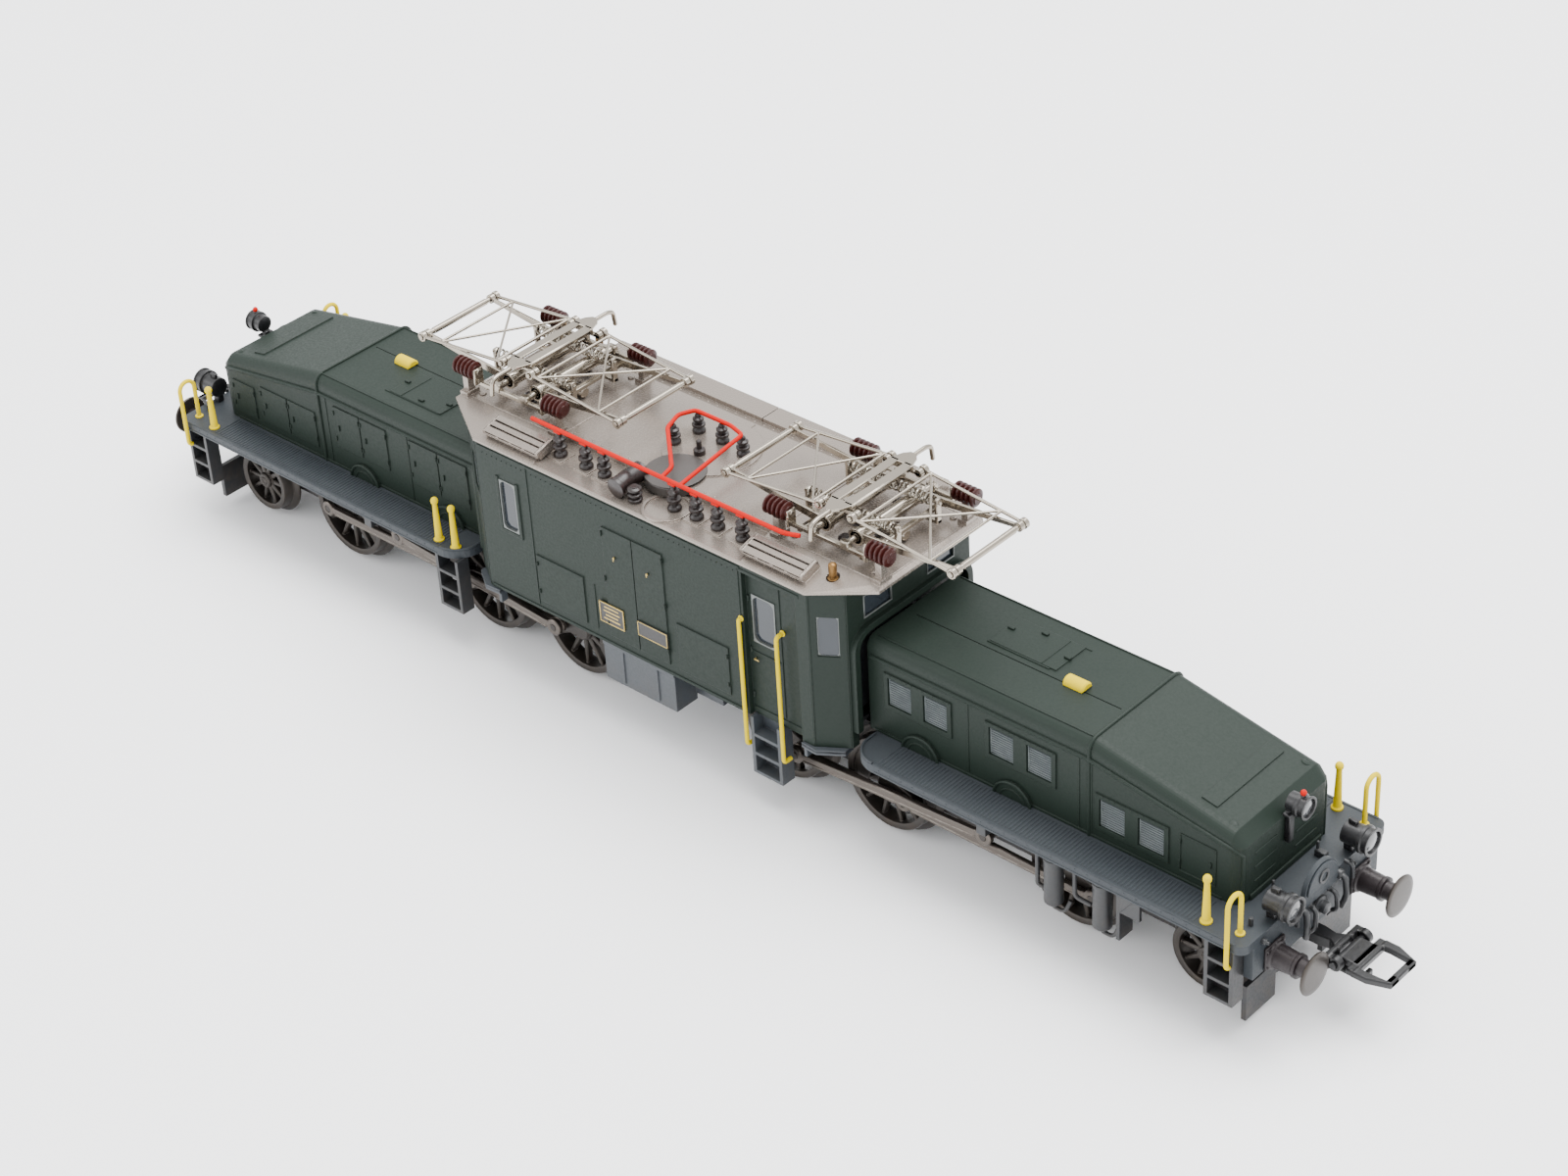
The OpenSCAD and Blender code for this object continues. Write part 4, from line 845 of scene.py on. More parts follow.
def roof_post(s, x, y, z0, z1, r):
    h = z1 - z0
    s.lathe((x, y, z0), (0, 0, 1), [
        (0, r * 0.95), (0.3, r), (0.55, r * 0.9), (0.8, r * 0.55), (h * 0.3, r * 0.5),
        (h * 0.36, r * 0.98), (h * 0.46, r * 0.98), (h * 0.52, r * 0.5), (h * 0.6, r * 0.5),
        (h * 0.66, r * 0.82), (h * 0.75, r * 0.82), (h * 0.82, r * 0.45), (h - 0.2, r * 0.45),
        (h, r * 0.3),
    ], 24)


def post_row(s):
    for x in POSTS_X:
        base_z = TROUGH_Z + (0 if x == 4.4 else 0.25)
        roof_post(s, x, BUS_Y, base_z, BUS_Z - 0.4, 1.1)
    for x, y in LOOP_POSTS:
        roof_post(s, x, y, ROOF_Z + 0.25, LOOP_Z - 0.4, 1.05)


def busbar(s):
    s.wire([(-24.6, BUS_Y, BUS_Z), (26, BUS_Y, BUS_Z), (28.2, -11.4, BUS_Z)], 0.34, 1.2)
    s.wire([
        (2.2, BUS_Y, BUS_Z), (2.1, -10, LOOP_Z - 0.3), (-5.6, -2.8, LOOP_Z), (-6.8, 0.8, LOOP_Z),
        (-5.6, 3.3, LOOP_Z), (1.5, 3.3, LOOP_Z), (4.6, 2.4, LOOP_Z), (5.8, BUS_Y, BUS_Z),
    ], 0.34, 0.7)
    for x in POSTS_X:
        s.box((x - 0.7, BUS_Y - 0.5, BUS_Z - 0.42), (x + 0.7, BUS_Y + 0.5, BUS_Z - 0.1), 0.1)


def drum_cover(s):
    """Round lid of the cable drum, with the half of the drum that shows in the trough."""
    x, y = -0.4, -6.9
    s.lathe((x, y, ROOF_Z + 0.25), (0, 0, 1), [(0, 4.6), (0.1, 4.7), (0.15, 4.4)], 48)
    s.plate(arc(x, y, 4.7, 201.5, 338.5, 20), (0, 0, 44.82), *FLAT, -1.5, c=0.12)


def cable_gear(s):
    """Cable bushing with its collars, small insulator and breather."""
    s.wire([(-4.5, -15.3, 44.65), (-4.5, -12.6, 45.0), (-4.5, -10, 44.85)], 1.45, 1.2, 20)
    s.lathe((-4.5, -15.5, 44.6), (0, 1, 0.1), [(0, 0.9), (0.1, 1.6), (0.7, 1.6), (0.8, 1.3)], 20)
    s.lathe((-4.5, -10.3, 44.83), (0, 1, 0.1),
            [(0, 1.3), (0.1, 1.65), (0.5, 1.65), (0.6, 1.2)], 20)
    ribbed(s, (-1.7, -14.2, TROUGH_Z), (0, 0, 1), 2.6, 0.6, 1.1, 3)
    s.lathe((-0.9, -1.2, ROOF_Z + 0.25), (0, 0, 1),
            [(0, 0.9), (0.8, 0.9), (0.9, 0.4), (2.2, 0.4), (2.4, 0.2)], 16)


def whistle(s):
    s.lathe((35, -12.4, 43.5), (0, 0, 1), [
        (0, 0.8), (0.4, 0.8), (0.5, 0.42), (0.8, 0.42), (0.9, 0.62), (2.6, 0.62), (2.75, 0.5),
        (2.9, 0.2),
    ], 20)


def roof_seams(s):
    """Raised seams, bolts and the rib that runs round the roof's flat top."""
    for x in (-21.3, 21.3):
        s.box((x - 0.12, -8.4, ROOF_Z - 0.05), (x + 0.12, 10, ROOF_Z + 0.12), 0.04)
    s.box((-0.1, -0.1 + 5, ROOF_Z - 0.05), (0.1, 10, ROOF_Z + 0.1), 0.04)
    for turn in ENDS.values():
        s.place = turn
        for side in (-1, 1):
            s.box((22, side * 10.1 - 0.12, ROOF_Z - 0.06),
                  (41.8, side * 10.1 + 0.12, ROOF_Z + 0.1), 0.05)
        s.box((41.6, -10.1, ROOF_Z - 0.06), (41.84, 10.1, ROOF_Z + 0.1), 0.05)
        for side in (-1, 1):
            for x in (30.5, 33.3):
                s.box((x - 0.7, side * 2.4 - 0.8, ROOF_Z - 0.02),
                      (x + 0.7, side * 2.4 + 0.8, ROOF_Z + 0.35), 0.1)
        for x in (24.5, 39.4):
            for y in (-8.6, 8.6):
                s.lathe((x, y, ROOF_Z - 0.02), (0, 0, 1), [(0, 0.55), (0.22, 0.55), (0.3, 0.3)], 12)
    s.place = IDENTITY
    for i in range(22):
        x = -20 + i * 40 / 21
        s.lathe((x, -8.15, ROOF_Z - 0.02), (0, 0, 1), [(0, 0.2), (0.08, 0.18), (0.13, 0.1)], 8)
        s.lathe((x, 10.9, 44.35), (0, 0.3, 1), [(0, 0.2), (0.08, 0.18), (0.13, 0.1)], 8)


def roof_vent(s, x0, x1):
    """Raised ventilator on the sloping roof side, with slots in its top and its outer edge."""
    s.place = at(0, -12, 44.7) @ Matrix.Rotation(math.radians(15), 4, "X")
    for y0, y1 in ((-3.75, -2.65), (-2.35, -1.45), (-1.15, -0.1)):
        s.box((x0 + 0.3, y0, 0.72), (x1 - 0.3, y1, 0.95), 0.06)
    for x in (x0, x1 - 0.6):
        s.box((x, -3.75, 0.2), (x + 0.6, -0.1, 0.95), 0.08)
    s.box((x0, -0.4, 0.2), (x1, -0.1, 0.9), 0.06)
    s.box((x0, -3.75, 0.1), (x1, -3.5, 0.38), 0.06)
    step = (x1 - x0 - 0.6) / 4
    for i in range(1, 4):
        s.box((x0 + i * step, -3.7, 0.2), (x0 + i * step + 0.55, -3.3, 0.8), 0.06)


def roof_details(s):
    roof_seams(s)
    for x0, x1 in ((20.4, 32.2), (-32.2, -20.4)):
        roof_vent(s, x0, x1)


def base_posts(s):
    """Short insulators and the pad under a pantograph."""
    for y in (-5.9, 5.9):
        ribbed(s, (-0.2, y, ROOF_Z), (0, 0, 1), 1.65, 0.6, 1.05, 2)
    s.box((-2.3, -1.9, ROOF_Z), (2.3, -1.1, ROOF_Z + 0.5), 0.1)


HERE = [IDENTITY]
piece("roof_line_insulators", "body", BLACK, "black_plastic", post_row, HERE, "post_insulators")
piece("roof_line_busbar", "body", RED, "red_paint", busbar, HERE, "busbar")
piece("roof_line_cover", "body", COVER, "black_plastic", drum_cover, HERE)
piece("roof_line_fittings", "body", BLACK, "black_plastic", cable_gear, HERE, "roof_fittings")
piece("roof_whistles", "body", BRONZE, "brass", whistle, BOTH)
piece("roof_seams_and_bolts", "body", ROOF, "roof_paint", roof_details, HERE)
piece("pantograph_base_posts", "body", BLACK, "black_plastic", base_posts,
      [turn @ at(PANTO_X, 0, 0) for turn in BOTH])

# ---------------------------------------------------------------- body sides

BODY_Y = 16.5
BODY_X = 38.2
CORNER = ((33.4, -16.5), (38.2, -13.4))
DOOR_Y = -15.6
PANEL_Y = -16.7


def frame_strip(s, x0, z0, x1, z1, y, w, t):
    """A rectangular frame standing proud of a wall at y, on the -y side."""
    for lo, hi in (
        ((x0 - w, z0 - w), (x1 + w, z0)), ((x0 - w, z1), (x1 + w, z1 + w)),
        ((x0 - w, z0), (x0, z1)), ((x1, z0), (x1 + w, z1)),
    ):
        s.box((lo[0], y - t, lo[1]), (hi[0], y + 0.15, hi[1]), 0.08)


def window_rim(s, x0, z0, x1, z1, y, w, r=0.6, t=0.12):
    """A thin rim with round corners inside a window opening at y, on the -y side."""
    outer = rounded(x0 - 0.02, z0 - 0.02, x1 + 0.02, z1 + 0.02, 0.05)
    inner = rounded(x0 + w, z0 + w, x1 - w, z1 - w, r)
    points = []
    for depth in (-t, 0.3):
        points += [(x, y + depth, z) for x, z in outer] + [(x, y + depth, z) for x, z in inner]
    n = len(outer)
    faces = []
    for low, high in ((0, 1), (2, 3), (0, 2), (1, 3)):
        faces += stitched(low * n, high * n, n)
    s.mesh(points, faces)


def corner_place(mirror):
    (x0, y0), (x1, y1) = CORNER
    turn = math.atan2(y1 - y0, x1 - x0)
    return mirror @ at((x0 + x1) / 2, (y0 + y1) / 2, 0) @ Matrix.Rotation(turn, 4, "Z")


def rivets(s, points, axis, r=0.16):
    for p in points:
        s.lathe(p, axis, [(0, r), (r * 0.5, r * 0.85), (r * 0.8, r * 0.4)], 8)


def body_trim(s):
    """Green strips, hinges, handles and rivets on one half of the walls."""
    turn = s.place
    for x in (-22.6, 20.4):
        s.box((x - 0.12, -BODY_Y - 0.12, 17), (x + 0.12, -BODY_Y + 0.1, 42.2), 0.05)
    s.box((-10.02, -BODY_Y - 0.12, 18), (-9.78, -BODY_Y + 0.1, 26), 0.05)
    s.box((-33, -BODY_Y - 0.14, 41.6), (20.8, -BODY_Y + 0.1, 42.1), 0.07)
    s.box((-33, -BODY_Y - 0.16, 16.1), (20.2, -BODY_Y + 0.1, 16.7), 0.08)
    for z in (20, 28, 36):
        for x in (-7.1, 5.2):
            s.bar((x, PANEL_Y - 0.1, z), (x, PANEL_Y - 0.1, z + 0.9), 0.17, 8)
    for x, z in ((-21.9, 19.5), (-21.9, 24.5), (17.3, 19.5), (17.3, 24.5)):
        s.bar((x, PANEL_Y - 0.1, z), (x, PANEL_Y - 0.1, z + 0.7), 0.16, 8)
    rivets(s, [(-32 + i * 1.05, -BODY_Y - 0.02, 40.9) for i in range(50)], (0, -1, 0), 0.1)
    s.box((21.2, DOOR_Y - 0.16, 16.6), (31, DOOR_Y + 0.1, 17.4), 0.06)
    s.box((21.3, DOOR_Y - 0.14, 27.2), (27.2, DOOR_Y + 0.1, 27.5), 0.05)
    s.box((27.2, DOOR_Y - 0.14, 17.6), (27.45, DOOR_Y + 0.1, 40.6), 0.05)
    s.box((20.3, -BODY_Y - 0.12, 41.2), (32, DOOR_Y + 0.1, 41.8), 0.08)
    for z in (19, 27, 36):
        s.bar((21.35, DOOR_Y - 0.1, z), (21.35, DOOR_Y - 0.1, z + 1), 0.18, 8)
    for mirror in SIDES:
        s.place = corner_place(turn @ mirror)
        s.box((-2.75, -0.1, 16.2), (-2.55, 0.1, 43), 0.05)
        s.box((2.5, -0.1, 16.2), (2.7, 0.1, 43), 0.05)


def cab_bulkhead(s):
    s.box((36.5, -12.4, 20.6), (36.9, 12.4, 42.2), 0.05)
    s.box((19.7, -12.4, 17.5), (36.5, 12.4, 18.2), 0.05)
    for z in (24.5, 29.5):
        s.box((36.3, -9.5, z), (36.55, 9.5, z + 0.4), 0.05)


def corner_platform(s):
    wedge = [(31.3, -16.9), (34.2, -17.1), (37.8, -14.7), (37.6, -12.6), (31.6, -15.0)]
    s.plate(wedge, (0, 0, 15.98), *FLAT, -0.6, c=0.1)
    s.box((31.4, -16.6, 13.4), (32.0, -15.2, 15.6), 0.1)


def window_rims(s):
    turn = s.place
    window_rim(s, -28.8, 28.6, -25.4, 37.4, -BODY_Y, 0.18, 0.9)
    window_rim(s, 22, 29.2, 26.4, 37.4, DOOR_Y, 0.2, 1.1)
    for mirror in SIDES:
        s.place = corner_place(turn @ mirror)
        window_rim(s, -1.6, 32, 1.6, 38.8, 0.4, 0.14)
        s.place = turn @ mirror @ at(BODY_X, 0, 0) @ Matrix.Rotation(math.pi / 2, 4, "Z")
        frame_strip(s, -9.7, 37.1, -4.1, 40.5, 0, 0.26, 0.14)


def handrails(s):
    y = -BODY_Y - 0.55
    for x, y_top in ((20.5, -BODY_Y), (27.7, DOOR_Y)):
        s.wire([(x, y_top + 0.02, 33), (x, y, 33), (x, y, 10.6), (x, -15.5, 10.6)], 0.33, 0.7, 12)
        s.lathe((x, y_top - 0.02, 33), (0, -1, 0), [(0, 0.5), (0.12, 0.5), (0.18, 0.36)], 14)


def wall_plates(s):
    s.box((-8.8, PANEL_Y - 0.16, 20.2), (-3.8, PANEL_Y + 0.05, 23.8), 0.06)
    s.box((-0.8, PANEL_Y - 0.28, 21), (5.3, PANEL_Y + 0.05, 23.6), 0.08)


def wall_brass(s):
    """Rims and plain bars of the plates, locks of the wall doors and the cab door's handle."""
    frame_strip(s, -8.65, 20.35, -3.95, 23.65, PANEL_Y - 0.16, 0.2, 0.1)
    for i, (x0, x1) in enumerate(((-8, -4.6), (-7.6, -5.0), (-8, -4.6), (-7.8, -4.8))):
        z = 20.9 + i * 0.68
        s.box((x0, PANEL_Y - 0.22, z), (x1, PANEL_Y - 0.1, z + 0.26), 0.03)
    frame_strip(s, -0.62, 21.18, 5.12, 23.42, PANEL_Y - 0.28, 0.14, 0.06)
    for x in (-4.7, 2.1):
        s.bar((x, PANEL_Y - 0.02, 33), (x, PANEL_Y - 0.32, 33), 0.2, 12)
        s.box((x - 0.09, PANEL_Y - 0.36, 32.5), (x + 0.09, PANEL_Y - 0.22, 33.05), 0.04)
    s.bar((22.2, DOOR_Y - 0.05, 26.2), (22.2, DOOR_Y - 0.4, 26.2), 0.16, 10)
    s.box((22.05, DOOR_Y - 0.5, 26.1), (23.0, DOOR_Y - 0.32, 26.32), 0.05)


piece("body_trim", "body", GREEN, "green_paint", body_trim, BOTH)
piece("cab_bulkheads", "body", DARK, "dark_paint", cab_bulkhead, BOTH)
piece("cab_corner_platforms", "body", BOX, "deck_paint", corner_platform,
      [turn @ mirror for turn in BOTH for mirror in SIDES])
piece("window_rims", "body", RIM, "nickel", window_rims, BOTH)
piece("door_handrails", "body", YELLOW, "yellow_paint", handrails, BOTH, "handrails")
piece("wall_plates", "body", PLATE, "brass", wall_plates, BOTH, "side_plates")
piece("brass_fittings", "body", BRASS, "brass", wall_brass, BOTH)

# ---------------------------------------------------------------- bogie tops

DECK_Z = 18.4
DECK_Y = 16.95
HOOD_Y = 10.4
HOOD_Z = 34.4
HOOD_X = 39.0
KINK_X = 78.3
NOSE_X = 103.2
BEAM_X = 108.5
BUFFER_Y = 10.05
BUFFER_Z = 13.3
POST_Y = 15.2
HOOP_X = 106.2
TOP_LAMP_Z = 30.4
LOW_LAMP_Y = 9
LOW_LAMP_Z = 21.2
COUPLER_X = 104.6
LOOP_PIN_X = 114.1
LOOP_PIN_Z = 10.1
LOUVRES = ((44.9, 24.3), (51.4, 24.3), (63.2, 24.3), (69.8, 24.3), (82.3, 21), (88.8, 21))
LEAVES = (
    (43.4, 49.9, 22.6, 30.6), (50.2, 56.7, 22.6, 30.6), (62.2, 68.3, 22.6, 30.2),
    (68.6, 74.7, 22.6, 30.2), (79.8, 86.5, 20.4, 27), (86.8, 93.4, 20.4, 27), (95.2, 100.6, 20, 26),
)


def louvre_inserts(s):
    for x, z in LOUVRES:
        s.box((x - 2.13, -HOOD_Y + 0.35, z + 0.02), (x + 2.13, -HOOD_Y + 0.74, z + 4.68), 0.05)
        for i in range(11):
            h = z + 0.35 + i * 0.4
            s.plate([(0, 0), (0.28, 0.02), (0.3, 0.12), (0.06, 0.3), (0, 0.3)],
                    (x - 2.0, -HOOD_Y + 0.36, h), (0, -1, 0), (0, 0, 1), -4.0, c=0.03)
        frame_strip(s, x - 1.95, z + 0.2, x + 1.95, z + 4.5, -HOOD_Y + 0.15, 0.17, 0.12)


def hood_trim(s):
    """Seams, hinges, handles, rims and rivets of one hood."""
    rib = [(KINK_X, y, z) for y, z in (
        [(-HOOD_Y - 0.06, DECK_Z), (-HOOD_Y - 0.06, HOOD_Z - 1.9)]
        + arc(-HOOD_Y + 1.8, HOOD_Z - 1.8, 1.86, 180, 90, 6)
        + arc(HOOD_Y - 1.8, HOOD_Z - 1.8, 1.86, 90, 0, 6) + [(HOOD_Y + 0.06, DECK_Z)]
    )]
    s.sweep(rib, 0.28, 8)
    for x, side in ((48.6, -1), (65.2, -1), (48.6, 1), (68.6, 1)):
        for r, w in ((3.25, 0.24), (2.2, 0.14)):
            arch = arc(x, DECK_Z - 0.5, r, 0, 180, 16)
            s.sweep([(a, side * (HOOD_Y + 0.5), z) for a, z in arch], w, 8)
    for side in (-1, 1):
        y = side * (HOOD_Y + 0.06)
        s.sweep([(HOOD_X + 0.6, y, 31.4), (KINK_X, y, 31.4)] + [
            (KINK_X + (NOSE_X - 1.9 - KINK_X) * t, y, 31.4 - 3.5 * t) for t in (0.33, 0.66, 1)
        ] + [
            (NOSE_X - 1.0, side * (HOOD_Y - 0.25), 27.4),
            (NOSE_X - 0.35, side * (HOOD_Y - 0.9), 26.6),
            (NOSE_X - 0.3, side * (HOOD_Y - 1.0), DECK_Z),
        ], 0.32, 8)
        s.box((HOOD_X + 1, side * 8.95, HOOD_Z - 0.06), (KINK_X, side * 9.15, HOOD_Z + 0.1), 0.04)
        s.lathe((100.3, side * 8.6, 29.7), (0.25, side * 0.5, 1),
                [(0, 1.0), (0.25, 0.9), (0.4, 0.5)], 20)
        near, far = side * (HOOD_Y - 0.1), side * (HOOD_Y + 0.1)
        for x in (57.2, 76.6):
            s.box((x - 0.1, near, DECK_Z + 0.2), (x + 0.1, far, 31), 0.04)
        s.box((HOOD_X + 0.8, near, DECK_Z + 0.02), (100.4, far + side * 0.04, DECK_Z + 0.5), 0.06)
        for z in (20.8, 23.2, 25.6):
            s.box((NOSE_X - 0.1, side * 2.2, z), (NOSE_X + 0.12, side * 7.2, z + 0.3), 0.05)
    s.box((53.0, -0.9, HOOD_Z - 0.02), (64.0, -0.62, HOOD_Z + 0.16), 0.05)
    s.box((53.6, 6.1, HOOD_Z - 0.02), (66.0, 6.35, HOOD_Z + 0.14), 0.05)
    for x, y in ((54.0, 3.4), (58.6, 5.2), (64.6, 2.6)):
        s.box((x - 0.55, y - 0.3, HOOD_Z + 0.15), (x + 0.55, y + 0.3, HOOD_Z + 0.5), 0.08)
    s.box((62.3, -0.5, HOOD_Z + 0.1), (62.5, 6.1, HOOD_Z + 0.3), 0.05)
    for x0, x1, z0, z1 in LEAVES:
        y = HOOD_Y + 0.25
        for z in (z0 + 1.2, z1 - 1.6):
            for x in (x0 + 0.1, x1 - 0.1):
                s.bar((x, y, z), (x, y, z + 0.8), 0.16, 8)
        middle = (z0 + z1) / 2
        s.box((x1 - 1.2, y - 0.1, middle - 0.5), (x1 - 0.9, y + 0.2, middle + 0.5), 0.06)
    frame_strip(s, 93.6, 20.2, 99.2, 26.2, -HOOD_Y, 0.2, 0.14)
    for z in (21.2, 24.6):
        s.bar((93.5, -HOOD_Y - 0.12, z), (93.5, -HOOD_Y - 0.12, z + 0.8), 0.16, 8)
    s.box((98.3, -HOOD_Y - 0.25, 22.8), (98.6, -HOOD_Y, 23.8), 0.06)
    for x0, x1, z in ((42, 54.3, 29.5), (60.3, 72.7, 29.5), (79.4, 91.7, 26.2)):
        rivets(s, [(x0 + 0.4 + i * (x1 - x0 - 0.8) / 12, -HOOD_Y - 0.24, z) for i in range(13)],
               (0, -1, 0), 0.11)
    s.box((NOSE_X - 0.05, -8.2, DECK_Z), (NOSE_X + 0.35, 8.2, DECK_Z + 1.0), 0.1)


def lifting_tab(s):
    """Yellow half-round tab on the hood roof."""
    outline = arc(0, 0, 1.15, 0, 180, 12)
    s.plate(outline, (67.5, -1.4, HOOD_Z + 0.02), *ACROSS, 3.6, c=0.2)


def yellow_post(s, x, y):
    s.lathe((x, y, DECK_Z), (0, 0, 1), [
        (0, 0.88), (0.25, 0.88), (0.4, 0.68), (0.55, 0.62), (6.7, 0.42), (6.85, 0.45), (6.95, 0.58),
        (7.25, 0.64), (7.55, 0.58), (7.8, 0.4), (7.92, 0.15),
    ], 20)


def yellow_set(s):
    base = s.place
    for mirror in SIDES:
        s.place = base @ mirror
        yellow_post(s, 101.3, POST_Y)
        y_out, y_in = DECK_Y + 0.5, DECK_Y - 2.5
        r = (y_out - y_in) / 2
        top = [(HOOP_X, y, z) for y, z in arc((y_out + y_in) / 2, 24.4, r, 0, 180, 14)]
        foot = [(HOOP_X, y, z) for y, z in arc(y_out - 0.7, 14.9, 0.7, 270, 360, 5)]
        s.sweep([(HOOP_X, DECK_Y - 0.15, 14.2)] + foot + top + [(HOOP_X, y_in, DECK_Z)], 0.36, 12)
        s.lathe((HOOP_X, y_in, DECK_Z), (0, 0, 1), [(0, 0.7), (0.2, 0.7), (0.3, 0.45)], 14)
    s.place = base
    for x in (42.6, 46.4):
        yellow_post(s, x, POST_Y)


def lamp(s, x0, x1, y, z, r):
    h = x1 - x0
    s.lathe((x0, y, z), (1, 0, 0), [
        (0, r * 0.5), (0.25, r * 0.8), (h - 1.7, r * 0.82), (h - 1.6, r), (h - 1.1, r),
        (h - 0.95, r * 0.9), (h - 0.3, r * 0.9), (h - 0.2, r), (h, r), (h, r * 0.8),
        (h - 0.45, r * 0.76),
    ], 28)


def lenses(s):
    low = [(110.7, side * LOW_LAMP_Y, LOW_LAMP_Z, 1.62) for side in (-1, 1)]
    for x, y, z, r in [(106.1, 0, TOP_LAMP_Z, 1.35)] + low:
        s.lathe((x, y, z), (1, 0, 0),
                [(0, r), (0.15, r * 0.95), (0.32, r * 0.6), (0.38, r * 0.2)], 24)


def lamp_marker(s):
    s.ball((105.6, 0, 32.6), 0.45, 14, 8)


def lamp_set(s):
    lamp(s, 103.4, 106.6, 0, TOP_LAMP_Z, 1.75)
    s.box((NOSE_X + 0.02, -0.6, 23.6), (NOSE_X + 0.85, 0.6, 29.2), 0.12)
    s.box((NOSE_X + 0.02, -1.3, 28.3), (NOSE_X + 1.2, 1.3, 28.8), 0.12)
    s.lathe((105.6, 0, 32), (0, 0, 1), [(0, 0.4), (0.3, 0.32)], 12)
    for y in (-LOW_LAMP_Y, LOW_LAMP_Y):
        lamp(s, 106.6, 111.2, y, LOW_LAMP_Z, 2.1)
        s.box((106.8, y - 0.6, DECK_Z), (108.2, y + 0.6, 19.7), 0.12)
        s.box((107.2, y - 0.35, 22.9), (108.6, y + 0.35, 23.6), 0.12)


def coupler_bar(s):
    """Shank on its pin, cross head with cheeks and the hook below."""
    s.lathe((COUPLER_X, 0, 9.2), (0, 0, 1), [(0, 1.8), (0.15, 2), (1.7, 2), (1.9, 1.8)], 28)
    s.bar((COUPLER_X, 0, 11), (COUPLER_X, 0, 13.6), 0.78, 18)
    shank = [(104.8, -1.2), (109.5, -1.2), (111.4, -0.9), (112.6, -1.6), (112.6, 1.6), (111.4, 0.9),
             (109.5, 1.2), (104.8, 1.2)]
    s.plate(shank, (0, 0, 11.1), *FLAT, -1.9, c=0.2)
    s.box((112.4, -4, 8.7), (113.3, 4, 11.2), 0.2)
    for side in (-1, 1):
        s.ring((LOOP_PIN_X, side * 3.45, LOOP_PIN_Z), (0, 1, 0), [
            (-0.55, 0.62), (-0.55, 1.0), (-0.45, 1.1), (0.45, 1.1), (0.55, 1.0), (0.55, 0.62),
        ], 20)
        s.box((112.9, side * 2.9, 9.1), (113.7, side * 4, 11.1), 0.12)
        s.box((112.5, side * 1.4, 8.9), (113.5, side * 1.9, 11.3), 0.12)
    s.box((112.45, -0.85, 6.3), (113.2, 0.85, 8.8), 0.15)
    s.box((112.5, -0.85, 6.25), (117.3, 0.85, 6.95), 0.18)
    s.box((116.65, -0.85, 6.3), (117.35, 0.85, 7.95), 0.15)


def coupling_loop(s):
    """Tapered loop with round bars, turned on its cross pin."""
    s.bar((LOOP_PIN_X, -4.4, LOOP_PIN_Z), (LOOP_PIN_X, 4.4, LOOP_PIN_Z), 0.54, 18)
    s.box((113.6, -2.6, 9.6), (117, 2.6, 10.65), 0.18)
    s.box((116, -4.1, 9.55), (117.6, 4.1, 10.65), 0.2)
    for side in (-1, 1):
        arm = [(117, side * 2.7), (117, side * 4.2), (119.2, side * 4.2), (122.5, side * 3.0),
               (122.5, side * 1.2), (121.6, side * 1.2), (121.5, side * 2.6), (118.6, side * 2.8)]
        s.plate(arm, (0, 0, 10.7), *FLAT, -1.1, c=0.2)
    s.box((121.5, -3.0, 9.6), (122.5, 3.0, 10.7), 0.22)


def beam_gear(s):
    """Hoses, hook plate and cocks on the buffer beam."""
    s.lathe((BEAM_X + 0.5, 0, 15.2), (1, 0, 0),
            [(0, 1.5), (0.3, 1.5), (0.4, 0.9), (1.2, 0.9), (1.3, 0.6)], 20)
    for side in (-1, 1):
        y = side * 4.6
        s.wire([(BEAM_X, y, 17.6), (BEAM_X + 1.4, y, 17.4), (BEAM_X + 1.7, y, 14.4),
                (BEAM_X + 1.2, side * 4.1, 12.6)], 0.45, 1.2, 10)
        s.lathe((BEAM_X + 0.2, y, 17.6), (1, 0, -0.1), [(0, 0.75), (0.6, 0.75), (0.7, 0.5)], 14)
        s.wire([(BEAM_X, side * 6.3, 18.6), (BEAM_X + 1.2, side * 6.4, 18.4),
                (BEAM_X + 1.3, side * 6.5, 16.2)], 0.34, 0.8, 10)
        s.bar((BEAM_X + 0.9, side * 6.35, 18.9), (BEAM_X + 1.1, side * 6.35, 19.6), 0.2, 8)
        s.bar((106.3, side * 12.2, DECK_Z), (106.3, side * 12.2, DECK_Z + 1.3), 0.35, 10)
        s.box((104.6, side * 5.2 - 0.5, DECK_Z), (106.4, side * 5.2 + 0.5, DECK_Z + 1.1), 0.15)
        s.bar((104.9, side * 5.2, DECK_Z + 1.0), (104.9, side * 5.2, DECK_Z + 2.4), 0.22, 8)
        for y, z, r in ((2.3, 16.6, 0.5), (7.6, 17.6, 0.4), (12.6, 17.2, 0.45)):
            s.lathe((BEAM_X, side * y, z), (1, 0, 0),
                    [(0, r), (0.5, r), (0.6, r * 0.6), (1.1, r * 0.5)], 12)
        s.wire([(BEAM_X + 0.2, side * 2.3, 16.6), (BEAM_X + 1.5, side * 2.4, 16.2),
                (BEAM_X + 1.6, side * 2.6, 13.4), (BEAM_X + 0.6, side * 3.0, 12.4)], 0.36, 1.0, 8)
    s.ring((BEAM_X + 0.9, 0, DECK_Z + 2.0), (1, 0, 0),
           [(-0.1, 0.7), (-0.1, 1.1), (0.15, 1.1), (0.15, 0.7)], 20)


def fall_plate(s):
    s.plate(arc(0, 0, 3.5, 0, 180, 24), (BEAM_X + 0.62, 0, DECK_Z + 0.5), *ACROSS, 0.25, c=0.1)


